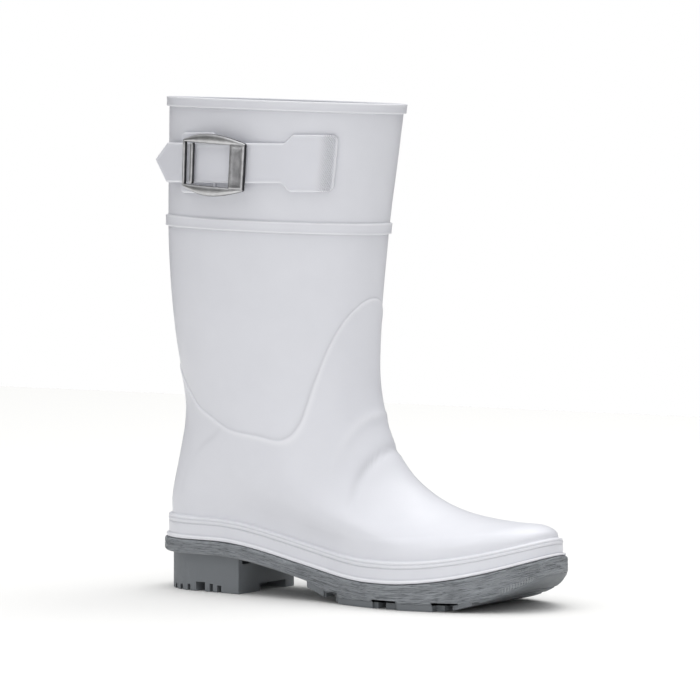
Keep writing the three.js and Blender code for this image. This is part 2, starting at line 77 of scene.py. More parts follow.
# %% Camera
scene = bpy.context.scene
view_azimuth = math.radians(34)
view_distance = 2.1
view_height = 0.24
view_pitch = math.radians(3.013)
view_centre_x = -0.0041
lens_data = bpy.data.cameras.new("camera")
lens_data.sensor_width = 36
lens_data.lens = 207
lens_data.clip_end = 50
camera = bpy.data.objects.new("camera", lens_data)
scene.collection.objects.link(camera)
camera.location = (
    view_centre_x + view_distance * math.sin(view_azimuth),
    -view_distance * math.cos(view_azimuth),
    view_height,
)
line_of_sight = Vector(
    (
        -math.sin(view_azimuth) * math.cos(view_pitch),
        math.cos(view_azimuth) * math.cos(view_pitch),
        -math.sin(view_pitch),
    )
)
camera.rotation_euler = line_of_sight.to_track_quat("-Z", "Y").to_euler()
scene.camera = camera
print("camera at", [round(x, 3) for x in camera.location])

# %% [markdown]
# ## Floor and light
# White goods are photographed on a white sweep inside a tent of light. The tent is the sky here: bright
# straight above, dimmer towards the horizon, so that the upright shaft stays a soft cool grey while the
# vamp, which looks up, comes out nearly white. The floor takes so much light that it turns pure white, and
# only the contact shadow under the sole stays grey. One panel above and behind brings that shadow forward,
# and a long low one in front lifts the foxing and the sole.

# %% Floor
def make_object(name, bm, material=None):
    mesh = bpy.data.meshes.new(name)
    bm.to_mesh(mesh)
    bm.free()
    piece = bpy.data.objects.new(name, mesh)
    scene.collection.objects.link(piece)
    if material is not None:
        mesh.materials.append(material)
    return piece


white_floor = bpy.data.materials.new("white_floor")
white_floor.use_nodes = True
floor_shader = white_floor.node_tree.nodes["Principled BSDF"]
floor_shader.inputs["Base Color"].default_value = (0.838, 0.836, 0.826, 1)
floor_shader.inputs["Roughness"].default_value = 0.9
floor_shader.inputs["Specular IOR Level"].default_value = 0.0
floor_bm = bmesh.new()
bmesh.ops.create_grid(floor_bm, x_segments=2, y_segments=2, size=1.3)
floor = make_object("floor", floor_bm, white_floor)
floor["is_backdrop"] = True
print("floor", [round(x, 1) for x in floor.dimensions])

# %% Sky and panels
def area_light(name, place, target, size, power):
    data = bpy.data.lights.new(name, "AREA")
    data.shape = "RECTANGLE"
    data.size, data.size_y = size
    data.energy = power
    lamp = bpy.data.objects.new(name, data)
    scene.collection.objects.link(lamp)
    lamp.location = place
    lamp.rotation_euler = (Vector(target) - Vector(place)).to_track_quat("-Z", "Y").to_euler()
    return lamp


area_light("top_panel", (0.1, 0.6, 1.3), (0.0, 0, 0.1), (0.7, 0.7), 2.8)
area_light("front_panel", (0.3, -0.75, 0.16), (0.1, -0.2, -0.25), (1.2, 0.3), 1.45)

sky = bpy.data.worlds.new("tent")
sky.use_nodes = True
sky_nodes, sky_links = sky.node_tree.nodes, sky.node_tree.links
direction = sky_nodes.new("ShaderNodeTexCoord")
parts = sky_nodes.new("ShaderNodeSeparateXYZ")
sky_links.new(direction.outputs["Generated"], parts.inputs[0])
squared = sky_nodes.new("ShaderNodeMath")
squared.operation = "MULTIPLY"
sky_links.new(parts.outputs["Z"], squared.inputs[0])
sky_links.new(parts.outputs["Z"], squared.inputs[1])
tent = sky_nodes.new("ShaderNodeMath")
tent.operation = "MULTIPLY_ADD"
tent.inputs[1].default_value = 2.1
tent.inputs[2].default_value = 0.085
sky_links.new(squared.outputs[0], tent.inputs[0])
# The camera sees a plain white backdrop, and the boot is lit by the tent
seen = sky_nodes.new("ShaderNodeLightPath")
backdrop = sky_nodes.new("ShaderNodeMix")
backdrop.inputs[3].default_value = 1.0
sky_links.new(seen.outputs["Is Camera Ray"], backdrop.inputs[0])
sky_links.new(tent.outputs[0], backdrop.inputs[2])
sky_links.new(backdrop.outputs[0], sky_nodes["Background"].inputs["Strength"])
sky_nodes["Background"].inputs["Color"].default_value = (1, 1, 1, 1)
scene.world = sky
scene.view_settings.view_transform = "Standard"
scene.view_settings.look = "None"

# %% [markdown]
# ## The last
# A boot is moulded round a last, the solid foot that gives it its inside. The last here is a stack of
# rings. Each ring has a length, three half widths and a height at its back and front, and the table is the
# same one that the CAD solids were made from. Keeping it as a table makes every later seam and fold fit the
# shell.

# %% The last's table
sole_length = 238
ball_width = 85
foot_height = 72.2
shaft_height = 162.6
shaft_length = 137.4
shaft_width = 90.4
wall = 2.2
gap = 0.35
heel_top = 27.8
ball_top = 13
toe_top = 26.8
ankle_height = heel_top + foot_height
points_round = 256

columns = "back front back_z front_z heel_round toe_round heel waist ball wave flare".split()
foot_rows = [
    # back, at, front, over, heel_round, toe_round, heel, waist, ball, wave, flare
    (0.0135, 0, 0.982, 0, 0.112, 0.277, 0.306, 0.306, 0.458, 1, 1),
    (0.0132, 0.1662, 0.9797, 0.133, 0.114, 0.277, 0.31, 0.313, 0.456, 0.95, 1),
    (0.0128, 0.2216, 0.9725, 0.1885, 0.117, 0.269, 0.316, 0.32, 0.447, 0.9, 1),
    (0.0134, 0.2798, 0.9405, 0.2245, 0.122, 0.258, 0.325, 0.331, 0.433, 0.82, 1),
    (0.017, 0.3629, 0.885, 0.2299, 0.13, 0.255, 0.335, 0.348, 0.418, 0.72, 0.95),
    (0.0235, 0.4543, 0.824, 0.2445, 0.138, 0.26, 0.345, 0.365, 0.408, 0.6, 0.9),
    (0.03, 0.5429, 0.763, 0.2752, 0.15, 0.265, 0.356, 0.38, 0.403, 0.5, 0.8),
    (0.0362, 0.633, 0.708, 0.3296, 0.164, 0.265, 0.367, 0.39, 0.398, 0.4, 0.7),
    (0.042, 0.723, 0.6595, 0.41, 0.183, 0.26, 0.382, 0.397, 0.395, 0.3, 0.6),
    (0.047, 0.813, 0.617, 0.5152, 0.204, 0.252, 0.393, 0.401, 0.395, 0.2, 0.5),
    (0.0495, 0.903, 0.582, 0.6565, 0.223, 0.243, 0.402, 0.404, 0.397, 0.1, 0.4),
    (0.0495, 1, 0.5545, 0.8338, 0.235, 0.237, 0.408, 0.408, 0.403, 0.04, 0.3),
]
shaft_rows = [
    # back, long, wide, at, over, flare
    (0.0438, 0.857, 0.785, 0.056, 0.006, 0.2),
    (0.0335, 0.86, 0.805, 0.13, 0.099, 0.1),
    (0.0215, 0.883, 0.84, 0.235, 0.217, 0),
    (0.012, 0.91, 0.883, 0.372, 0.353, 0),
    (0.0072, 0.935, 0.925, 0.527, 0.502, 0),
    (0.0078, 0.95, 0.952, 0.651, 0.626, 0),
    (0.0105, 0.973, 0.976, 0.805, 0.781, 0),
    (0.0132, 1.0, 1.0, 1.0, 0.969, 0),
]
rings = []
for back, at, front, over, heel_round, toe_round, heel, waist, ball, wave, flare in foot_rows:
    lengths = [sole_length * share for share in (back, front)]
    heights = [heel_top + foot_height * at, toe_top + foot_height * over]
    rounds = [sole_length * share for share in (heel_round, toe_round)]
    halves = [ball_width * share for share in (heel, waist, ball)]
    rings.append([*lengths, *heights, *rounds, *halves, wave, flare])
for back, long, wide, at, over, flare in shaft_rows:
    half, side = long * shaft_length / 2, wide * shaft_width / 2
    start = back * sole_length
    heights = [ankle_height + shaft_height * share for share in (at, over)]
    rings.append([start, start + 2 * half, *heights, half, half, side, side, side, 0, flare])
rings = np.array(rings)
collar = len(rings) - 1
print("rings of the last:", len(rings))

# %% Points on the last
def smooth(t):
    t = np.clip(t, 0, 1)
    return t * t * (3 - 2 * t)


def ring_at(level):
    """Each column of the table at any level, 0 at the feather line and the highest at the collar."""
    i = np.clip(np.floor(level).astype(int), 0, collar - 1)
    t = (level - i)[..., None]
    before, low, high, after = (rings[np.clip(i + k, 0, collar)] for k in (-1, 0, 1, 2))
    start, end = (high - before) / 2, (after - low) / 2
    mixed = low * (1 + 2 * t) * (1 - t) ** 2 + start * t * (1 - t) ** 2
    mixed += high * t * t * (3 - 2 * t) + end * t * t * (t - 1)
    return {name: mixed[..., k] for k, name in enumerate(columns)}


def sole_top(share):
    fall = smooth((share - 0.18) / 0.46)
    rise = np.maximum(share - 0.67, 0) / 0.33
    return heel_top + (ball_top - heel_top) * fall + (toe_top - ball_top) * rise**2


def share_of(x):
    return (x - rings[0][0]) / (rings[0][1] - rings[0][0])


def bend(share):
    waist_side = smooth(share / 0.5) * (1 - smooth((share - 0.5) / 0.3))
    return ball_width * (0.056 * smooth((share - 0.6) / 0.4) - 0.04 * waist_side)


def last_point(level, angle):
    """Angle 0 is the front of the ring and pi its back, with the foot's inner side between them."""
    r = ring_at(level)
    share = (1 + np.cos(angle)) / 2
    long = r["front"] - r["back"]
    from_front = np.minimum(long * (1 - share) / r["toe_round"], 1)
    from_back = np.minimum(long * share / r["heel_round"], 1)
    rounding = np.sqrt(np.maximum(from_front * (2 - from_front) * from_back * (2 - from_back), 0))
    width = r["heel"] + (r["waist"] - r["heel"]) * smooth((share - 0.15) / 0.3)
    width = width + (r["ball"] - r["waist"]) * smooth((share - 0.45) / 0.29)
    wave = sole_top(share) - heel_top - (toe_top - heel_top) * share
    x = r["back"] + long * share
    y = r["flare"] * bend(share) + np.sign(np.sin(angle)) * width * rounding
    z = r["back_z"] + (r["front_z"] - r["back_z"]) * share + r["wave"] * wave
    return np.stack([x, y, z], axis=-1)


def shell_point(level, angle, out):
    """The last's surface moved out along its normal."""
    level, angle, out = np.broadcast_arrays(np.asarray(level, float), angle, out)
    step = 0.02
    above = last_point(np.minimum(level + step, collar), angle)
    beneath = last_point(np.maximum(level - step, 0), angle)
    along = last_point(level, angle + step) - last_point(level, angle - step)
    normal = np.cross(along, above - beneath)
    normal[..., 2] = np.where(level <= 0, 0, normal[..., 2])
    normal /= np.linalg.norm(normal, axis=-1, keepdims=True)
    point = last_point(level, angle)
    moved = point + normal * out[..., None]
    keep = np.maximum(1 - level, 0)
    moved[..., 2] += keep * (sole_top(share_of(moved[..., 0])) - sole_top(share_of(point[..., 0])))
    return moved


fine_levels = np.linspace(0, collar, 4000)
fine_heights = ring_at(fine_levels)["back_z"]


def level_at(height):
    return np.interp(height, fine_heights, fine_levels)


# The frame's origin is the middle of the whole boot's box. The sole's box gives its place along the boot,
# and side_shift is how far the buckle on the outer side moves it to the inner side.
sole_margin = 4.2
side_shift = 2.857
sole_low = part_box("outsole")[0]
shift = np.array([sole_low.x * 1000 - (rings[0][0] - sole_margin), side_shift, 0])
print("last's origin in the frame, mm:", shift.round(2))

# %% [markdown]
# ## Skins of rings
# Nearly every piece of a boot is a skin laid over a row of loops: the shell, the strip of the sole, the
# strap, the buckle. A flat grid is created with one row for each loop, its points are put in their places,
# and the edges that meet are merged, which closes the grid to a tube. An end is closed by drawing its loop
# in to the line down its middle, or by one flat face.

# %% Skins of rings
metre = 0.001


def zipped(loop, steps):
    """Rows from a loop in to its middle line, where its two sides meet."""
    mirrored = loop[(-np.arange(len(loop))) % len(loop)]
    middle = (loop + mirrored) / 2
    return [middle + (loop - middle) * (1 - (k + 1) / steps) for k in range(steps)]


def skin_of(places, around=True, along=False, values=None, surface=None):
    """A bmesh over a table of points in mm. values are point attributes, surface is the UV in mm."""
    places = np.asarray(places, float)
    rows, cols = places.shape[:2]
    row_of = np.arange(rows + along) % rows
    col_of = np.arange(cols + around) % cols
    grid_places = places[np.ix_(row_of, col_of)].reshape(-1, 3)
    bm = bmesh.new()
    bmesh.ops.create_grid(bm, x_segments=len(col_of) - 1, y_segments=len(row_of) - 1, size=1)
    for vert, place in zip(bm.verts, grid_places):
        vert.co = place
    for name, table in (values or {}).items():
        layer = bm.verts.layers.float.new(name)
        for vert, value in zip(bm.verts, np.asarray(table)[np.ix_(row_of, col_of)].ravel()):
            vert[layer] = value
    if surface is not None:
        layer = bm.loops.layers.uv.new("surface")
        bm.verts.index_update()
        flat = np.asarray(surface, float).reshape(-1, 2)
        for face in bm.faces:
            for loop in face.loops:
                loop[layer].uv = flat[loop.vert.index]
    bmesh.ops.remove_doubles(bm, verts=bm.verts, dist=0.0005)
    bmesh.ops.recalc_face_normals(bm, faces=bm.faces)
    return bm


def close_holes(bm):
    bmesh.ops.holes_fill(bm, edges=[edge for edge in bm.edges if edge.is_boundary], sides=0)
    bmesh.ops.recalc_face_normals(bm, faces=bm.faces)


def settle(bm, name, material, slot_name, *nodes):
    """Scales a bmesh from millimetres, puts it in the frame and makes it a piece that rides on the boot."""
    bmesh.ops.translate(bm, vec=shift, verts=bm.verts)
    bmesh.ops.scale(bm, vec=(metre, metre, metre), verts=bm.verts)
    for face in bm.faces:
        face.smooth = True
    piece = make_object(name, bm, material)
    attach(piece, "root")
    if nodes:
        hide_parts(*nodes)
    print(f"{name}: {len(piece.data.polygons)} faces")
    return piece


def sharpen(piece, degrees):
    """Edges steeper than the angle shade as corners, and all others as one smooth skin."""
    piece.data.set_sharp_from_angle(angle=math.radians(degrees))


def ring_angles(count):
    return 2 * np.pi * np.arange(count) / count


# %% [markdown]
# ## Node groups shared by the materials
# Two effects come back on several materials, so each is built once as a group. `moulded_skin` is the
# slight unevenness that every moulded surface has: a fine matt tooth and a broad waviness. The second
# group reads two values that the meshes carry, how deep a point lies in a groove and how far it stands out
# on an edge, and paints shade into the colour in the grooves and a highlight on the edges.

# %% Group helpers
def new_group(name, inputs, outputs):
    tree = bpy.data.node_groups.new(name, "ShaderNodeTree")
    for label, kind, value in inputs:
        socket = tree.interface.new_socket(name=label, in_out="INPUT", socket_type=kind)
        socket.default_value = value
    for label, kind in outputs:
        tree.interface.new_socket(name=label, in_out="OUTPUT", socket_type=kind)
    return tree, tree.nodes.new("NodeGroupInput"), tree.nodes.new("NodeGroupOutput")


def feed(tree, socket, value):
    """Links a socket from another socket, or sets it to a value."""
    if isinstance(value, bpy.types.NodeSocket):
        tree.links.new(value, socket)
    else:
        socket.default_value = value


def add_node(tree, kind, settings=None, **inputs):
    """A node with its settings. Inputs go by name, or as i0, i1 and so on where names repeat."""
    node = tree.nodes.new(kind)
    for name, value in (settings or {}).items():
        setattr(node, name, value)
    for name, value in inputs.items():
        numbered = name[0] == "i" and name[1:].isdigit()
        feed(tree, node.inputs[int(name[1:]) if numbered else name], value)
    return node


def maths(tree, operation, a, b=0.0, clamp=False):
    settings = {"operation": operation, "use_clamp": clamp}
    return add_node(tree, "ShaderNodeMath", settings, i0=a, i1=b).outputs[0]


def mix_colour(tree, share, first, second):
    node = add_node(tree, "ShaderNodeMix", {"data_type": "RGBA"}, i0=share, i6=first, i7=second)
    return node.outputs[2]


def spread(tree, value, low, high, new_low, new_high):
    """A value stretched from one range to another."""
    node = add_node(tree, "ShaderNodeMapRange", None, i0=value, i1=low, i2=high, i3=new_low, i4=new_high)
    return node.outputs["Result"]


def attribute(tree, name):
    return add_node(tree, "ShaderNodeAttribute", {"attribute_name": name}).outputs["Fac"]


def noise_field(tree, where, scale, detail):
    node = add_node(tree, "ShaderNodeTexNoise", None, Vector=where, Scale=scale, Detail=detail)
    return node.outputs["Fac"]


# %% Group: moulded skin
moulded_skin, inside, outside = new_group(
    "moulded_skin",
    [
        ("Fine scale", "NodeSocketFloat", 1400.0),
        ("Broad scale", "NodeSocketFloat", 45.0),
        ("Fine share", "NodeSocketFloat", 0.3),
    ],
    [("Height", "NodeSocketFloat"), ("Mottle", "NodeSocketFloat")],
)
where = moulded_skin.nodes.new("ShaderNodeTexCoord").outputs["Object"]
fine = noise_field(moulded_skin, where, inside.outputs["Fine scale"], 3.0)
broad = noise_field(moulded_skin, where, inside.outputs["Broad scale"], 2.0)
fine_part = maths(moulded_skin, "MULTIPLY", fine, inside.outputs["Fine share"])
height = maths(moulded_skin, "ADD", broad, fine_part)
moulded_skin.links.new(height, outside.inputs["Height"])
moulded_skin.links.new(broad, outside.inputs["Mottle"])
print("group moulded_skin:", len(moulded_skin.nodes), "nodes")

# %% Group: painted shade and highlight
painted_shade_and_highlight, inside, outside = new_group(
    "painted_shade_and_highlight",
    [
        ("Colour", "NodeSocketColor", (0.8, 0.8, 0.8, 1)),
        ("Groove colour", "NodeSocketColor", (0.5, 0.5, 0.52, 1)),
        ("Edge colour", "NodeSocketColor", (0.9, 0.9, 0.9, 1)),
        ("Groove strength", "NodeSocketFloat", 0.6),
        ("Edge strength", "NodeSocketFloat", 0.5),
    ],
    [("Colour", "NodeSocketColor"), ("Groove", "NodeSocketFloat")],
)
groove_strength = inside.outputs["Groove strength"]
edge_strength = inside.outputs["Edge strength"]
# Grooves get painted shade and edges a painted highlight, both mixed into the colour
groove_share = maths(painted_shade_and_highlight, "MULTIPLY", attribute(painted_shade_and_highlight, "groove"), groove_strength, clamp=True)
edge_share = maths(painted_shade_and_highlight, "MULTIPLY", attribute(painted_shade_and_highlight, "edge"), edge_strength, clamp=True)
shaded = mix_colour(painted_shade_and_highlight, groove_share, inside.outputs["Colour"], inside.outputs["Groove colour"])
lit = mix_colour(painted_shade_and_highlight, edge_share, shaded, inside.outputs["Edge colour"])
painted_shade_and_highlight.links.new(lit, outside.inputs["Colour"])
painted_shade_and_highlight.links.new(groove_share, outside.inputs["Groove"])
print("group painted_shade_and_highlight:", len(painted_shade_and_highlight.nodes), "nodes")

# %% [markdown]
# ## White rubber
# The upper is white rubber with a touch of blue, satin rather than glossy. Its colour is nearly even, so
# the material lives from small things: a slow drift between two whites, a roughness that follows it, and a
# soft second highlight from a thin coat, as fresh moulded rubber has. Shade is painted into the colour of
# its grooves and a highlight onto its edges.

# %% White rubber
def start_material(name):
    material = bpy.data.materials.new(name)
    material.use_nodes = True
    return material, material.node_tree, material.node_tree.nodes["Principled BSDF"]


def place_group(tree, group, **inputs):
    node = tree.nodes.new("ShaderNodeGroup")
    node.node_tree = group
    for label, value in inputs.items():
        feed(tree, node.inputs[label.replace("_", " ")], value)
    return node


def bump(tree, shader, height, distance, strength):
    node = add_node(tree, "ShaderNodeBump", None, Height=height, Distance=distance, Strength=strength)
    tree.links.new(node.outputs["Normal"], shader.inputs["Normal"])
    return node


def rubber(name, light, dark, groove_shade_colour, edge_highlight_colour, fine_scale, grip):
    """Satin rubber: two tones, painted shade for grooves and painted highlight for edges, and grip, its
    roughness.
    """
    material, tree, shader = start_material(name)
    skin = place_group(tree, moulded_skin, Fine_scale=fine_scale, Broad_scale=48.0, Fine_share=0.22)
    drift = spread(tree, skin.outputs["Mottle"], 0.3, 0.7, 0.0, 1.0)
    tone = mix_colour(tree, drift, (*light, 1), (*dark, 1))
    edges = place_group(
        tree,
        painted_shade_and_highlight,
        Colour=tone,
        Groove_colour=(*groove_shade_colour, 1),
        Edge_colour=(*edge_highlight_colour, 1),
        Groove_strength=0.75,
        Edge_strength=0.7,
    )
    tree.links.new(edges.outputs["Colour"], shader.inputs["Base Color"])
    rough = spread(tree, skin.outputs["Mottle"], 0.3, 0.7, *grip)
    tree.links.new(rough, shader.inputs["Roughness"])
    shader.inputs["Specular IOR Level"].default_value = 0.42
    shader.inputs["Coat Weight"].default_value = 0.18
    shader.inputs["Coat Roughness"].default_value = 0.3
    bump(tree, shader, skin.outputs["Height"], 0.0006, 0.35)
    return material


white_rubber = rubber(
    "white_rubber_skin",
    light=(0.730, 0.738, 0.785),
    dark=(0.712, 0.720, 0.767),
    # The groove colour is painted shade and the edge colour a painted highlight
    groove_shade_colour=(0.46, 0.465, 0.50),
    edge_highlight_colour=(0.86, 0.865, 0.90),
    fine_scale=1500.0,
    grip=(0.36, 0.5),
)
print("material", white_rubber.name)

# %% [markdown]
# ## Upper
# The white boot is moulded in one. Its outside is laid as rows between fixed lines: the feather line over
# the sole, the foxing with its two cords, the seam that runs round the ankle, the ring band and the rim.
# Rows lie close where the wall has a step and wide apart where it is plain. The seam rises and falls, so the
# rows between are stretched to follow it, and the ridge stays crisp without a million points.

# %% The seam and the wall's steps
feather = rings[0][2]
collar_z = rings[collar][2]
foxing_top = feather + 12.7
band_below_collar = 62.9
band_height = 5.5
rim_height = 5
rim_out = 1.4
band_top = collar_z - band_below_collar
band_low = band_top - band_height
rim_low = collar_z - rim_height

# Height above the feather line, distance out from the last, painted shade in a groove and painted highlight
# on an edge
foxing_profile = np.array(
    [
        (0.0, 2.9, 0, 0),
        (0.15, 3.2, 0, 0),
        (0.4, 3.32, 0, 0.4),
        (1.4, 3.32, 0, 0.9),
        (1.75, 3.15, 0, 0.9),
        (1.95, 2.6, 0, 0.5),
        (2.1, 2.05, 0.5, 0),
        (2.4, 1.95, 0.4, 0),
        (3.2, 1.95, 0, 0),
        (4.6, 1.95, 0, 0),
        (6.2, 1.95, 0, 0),
        (7.6, 1.97, 0, 0),
        (8.05, 1.93, 0.15, 0),
        (8.25, 1.72, 0.55, 0),
        (8.5, 1.7, 0.55, 0),
        (8.7, 1.93, 0.15, 0),
        (9.0, 2.13, 0, 0.2),
        (9.5, 2.2, 0, 0.25),
        (10.0, 2.12, 0, 0.15),
        (10.25, 1.95, 0.1, 0),
        (10.45, 1.8, 0.35, 0),
        (10.65, 1.8, 0.35, 0),
        (10.85, 1.93, 0.1, 0.1),
        (11.2, 2.05, 0, 0.45),
        (11.7, 1.95, 0, 0.5),
        (12.0, 1.6, 0, 0.3),
        (12.2, 0.95, 0.05, 0),
        (12.4, 0.35, 0.2, 0),
        (12.7, 0.0, 0.1, 0),
    ]
)

# Position along half the boot's girth, 0 at the front and 1 at the back, and the seam's rise above the
# ankle as a share of the shaft's height
seam_rows = np.array(
    [
        (-0.04, 0.362),
        (0, 0.366),
        (0.04, 0.362),
        (0.085, 0.343),
        (0.154, 0.283),
        (0.206, 0.205),
        (0.249, 0.127),
        (0.283, 0.07),
        (0.318, 0.022),
        (0.355, -0.01),
        (0.4, -0.03),
        (0.48, -0.033),
        (0.59, -0.031),
        (0.64, -0.016),
        (0.7, 0.002),
        (0.78, 0.058),
        (0.86, 0.108),
        (0.93, 0.132),
        (1, 0.138),
    ]
)


def smooth_curve(rows, at):
    """A Catmull-Rom curve through rows of two columns, read at values of the first."""
    x, y = rows[:, 0], rows[:, 1]
    slope = np.gradient(y, x)
    k = np.clip(np.searchsorted(x, at) - 1, 0, len(x) - 2)
    span = x[k + 1] - x[k]
    t = (at - x[k]) / span
    return (
        y[k] * (1 + 2 * t) * (1 - t) ** 2
        + slope[k] * span * t * (1 - t) ** 2
        + y[k + 1] * t * t * (3 - 2 * t)
        + slope[k + 1] * span * t * t * (t - 1)
    )


angles = ring_angles(points_round)
turn = np.abs(((angles + np.pi) % (2 * np.pi)) - np.pi) / np.pi
seam_height = ankle_height + shaft_height * smooth_curve(seam_rows, turn)
seam_ring = last_point(level_at(seam_height), angles)
girth_step = np.linalg.norm(np.roll(seam_ring, -1, 0)[:, :2] - np.roll(seam_ring, 1, 0)[:, :2], axis=1)
seam_slope = (np.roll(seam_height, -1) - np.roll(seam_height, 1)) / girth_step
seam_stretch = np.sqrt(1 + seam_slope**2)

# Distance below the seam's line, how far the wall stands out there, painted shade in a groove and painted
# highlight on an edge
seam_profile = np.array(
    [
        (-5.0, 0.0, 0, 0),
        (-2.6, 0.0, 0, 0),
        (-1.5, -0.05, 0.05, 0),
        (-0.95, -0.14, 0.25, 0),
        (-0.65, -0.17, 0.45, 0),
        (-0.4, -0.05, 0.35, 0),
        (-0.2, 0.22, 0.1, 0.1),
        (0.05, 0.48, 0, 0.5),
        (0.4, 0.6, 0, 0.7),
        (0.8, 0.58, 0, 0.5),
        (1.3, 0.5, 0, 0.2),
        (2.2, 0.42, 0, 0),
        (3.2, 0.4, 0, 0),
    ]
)
print("seam from", seam_height.min().round(1), "to", seam_height.max().round(1), "mm above the floor")

# %% [markdown]
# ### Folds and creases
# A rubber boot has few folds, but they say that it is soft. Over the instep the shell swells to a rounded
# ridge, a sharper trough lies under it where the boot flexes, a soft edge runs along the toes, and a faint
# edge of the counter forks off the seam. Each is a row of points on the last, with a width and a height.
# The two folds of the instep cross over the front. The others are repeated on the inner side.

# %% Folds and creases
fold_rows = {
    # turn to the outer side, level on the last, strength
    "instep_ridge": [
        (-0.26, 10.6, 0.0),
        (-0.15, 11.4, 0.6),
        (-0.059, 11.67, 1),
        (0.031, 11.62, 1),
        (0.107, 11.39, 1),
        (0.188, 10.77, 0.9),
        (0.262, 9.8, 0.6),
        (0.309, 8.89, 0.25),
        (0.33, 8.2, 0.0),
    ],
    "instep_trough": [
        (-0.30, 8.6, 0.0),
        (-0.18, 9.9, 0.7),
        (-0.055, 10.37, 1),
        (0.038, 10.27, 1),
        (0.097, 10.06, 1),
        (0.175, 9.49, 1),
        (0.241, 8.63, 0.8),
        (0.303, 7.38, 0.45),
        (0.352, 6.15, 0.0),
    ],
    "toe_edge": [
        (0.41, 0.6, 0.0),
        (0.36, 1.11, 0.7),
        (0.326, 1.35, 1),
        (0.293, 1.56, 1),
        (0.254, 1.9, 1),
        (0.217, 2.2, 0.8),
        (0.151, 2.71, 0.5),
        (0.06, 3.2, 0.0),
    ],
    "counter_fork": [
        (0.600, 10.3, 0.6),
        (0.642, 9.51, 1),
        (0.687, 8.71, 0.9),
        (0.735, 7.62, 0.5),
        (0.768, 6.67, 0.0),
    ],
    "heel_edge": [
        (0.777, 6.8, 0.0),
        (0.784, 6.15, 0.6),
        (0.798, 5.12, 0.8),
        (0.811, 4.01, 0.7),
        (0.831, 2.75, 0.0),
    ],
}
fold_shapes = {
    # width in mm of the fold's slope, height in mm, how much painted shade and how much painted highlight
    # its line gets
    "instep_ridge": (2.6, 0.75, 0, 0.55),
    "instep_trough": (2.6, -1.15, 0.55, 0),
    "toe_edge": (4.5, 0.5, 0, 0.15),
    "counter_fork": (2.0, -0.25, 0.25, 0),
    "heel_edge": (2.2, -0.2, 0.14, 0),
}


def fold_line(rows, both_sides):
    rows = np.array(rows)
    steps = np.linspace(0, len(rows) - 1, 60)
    at = np.arange(len(rows))
    turns, levels, strengths = (smooth_curve(np.stack([at, rows[:, k]], 1), steps) for k in range(3))
    lines = [(last_point(levels, -turns * np.pi), strengths)]
    if both_sides:
        lines.append((last_point(levels, turns * np.pi), strengths * 0.8))
    return lines


def folds_at(points):
    """How far the folds move each point out, its painted shade in a groove, and its painted highlight on a
    ridge.
    """
    out, groove, ridge = (np.zeros(len(points)) for _ in range(3))
    for name, rows in fold_rows.items():
        width, height, dark, lit = fold_shapes[name]
        for line, strengths in fold_line(rows, not name.startswith("instep")):
            nearest = np.full(len(points), 1e9)
            strength = np.zeros(len(points))
            for place, value in zip(line, strengths):
                far = np.sum((points - place) ** 2, axis=1)
                closer = far < nearest
                nearest[closer] = far[closer]
                strength[closer] = value
            near = np.exp(-nearest / width**2) * np.maximum(strength, 0)
            out += height * near
            groove += dark * near**2
            ridge += lit * near**3
    return out, groove, ridge


print("folds:", ", ".join(fold_rows))

# %% Rows of the outside
def rows_between(start, end, count):
    """Rows from one line of heights to another, the first one left out."""
    return [start + (end - start) * share for share in np.arange(1, count + 1) / count]


flat = np.ones(points_round)
heights, outs, grooves, edges_lit = [], [], [], []


# Each row also carries groove, the painted shade of its colour, and edge, its painted highlight
def add_row(height, out, groove=0.0, edge=0.0):
    heights.append(height * flat)
    outs.append(out * flat)
    grooves.append(groove * flat)
    edges_lit.append(edge * flat)


for rise, out, groove, edge in foxing_profile:
    add_row(feather + rise, out, groove, edge)
seam_start = seam_height - seam_profile[-1][0] * seam_stretch
seam_end = seam_height - seam_profile[0][0] * seam_stretch
panel_rows = 100
for k, height in enumerate(rows_between(foxing_top, seam_start, panel_rows)):
    add_row(height, seam_profile[-1][1] * smooth((k + 1) / panel_rows))
for below, out, groove, edge in seam_profile[::-1][1:]:
    add_row(seam_height - below * seam_stretch, out, groove, edge)
for height in rows_between(seam_end, band_low - 1.2, 38)[:-1]:
    add_row(height, 0)


def add_band(low, high, out, top_open):
    """A raised band with a fine bead along both of its edges; the beads get a painted highlight and the
    grooves beside them painted shade.
    """
    profile = [
        (low - 1.2, 0, 0, 0),
        (low - 0.5, -0.05, 0.5, 0),
        (low - 0.28, 0.1, 0.6, 0),
        (low - 0.1, 0.7 * out, 0.2, 0.3),
        (low + 0.1, out + 0.08, 0, 0.9),
        (low + 0.5, out + 0.12, 0, 0.7),
        (low + 0.9, out, 0.1, 0),
        (low + 2.4, out, 0, 0),
        (high - 1.0, out, 0, 0),
        (high - 0.6, out + 0.1, 0, 0.6),
    ]
    if not top_open:
        profile += [
            (high - 0.2, out + 0.08, 0, 0.9),
            (high, 0.7 * out, 0, 0.5),
            (high + 0.2, 0.1, 0.3, 0),
            (high + 0.45, -0.04, 0.4, 0),
            (high + 1.2, 0, 0, 0),
        ]
    for height, band_out, groove, edge in profile:
        add_row(height, band_out, groove, edge)


add_band(band_low, band_top, 1.3, False)
for height in rows_between(band_top + 1.2, rim_low - 1.2, 30)[:-1]:
    add_row(height, 0)
add_band(rim_low, collar_z, rim_out, True)
# The rim's rounded top and the lip inside it get a painted highlight
add_row(collar_z - 0.3, rim_out + 0.08, 0, 0.8)
add_row(collar_z - 0.12, rim_out - 0.05, 0, 0.9)
add_row(collar_z, rim_out - 0.45, 0, 0.6)
outer_rows = len(heights)
add_row(collar_z, -0.4, 0, 0.2)
add_row(collar_z, -wall + 0.7)
add_row(collar_z - 0.15, -wall + 0.25)
for height in [collar_z - 0.7, *np.linspace(collar_z - 4, feather + 0.01, 64)]:
    add_row(height, -wall)
print("rows round the upper:", len(heights))

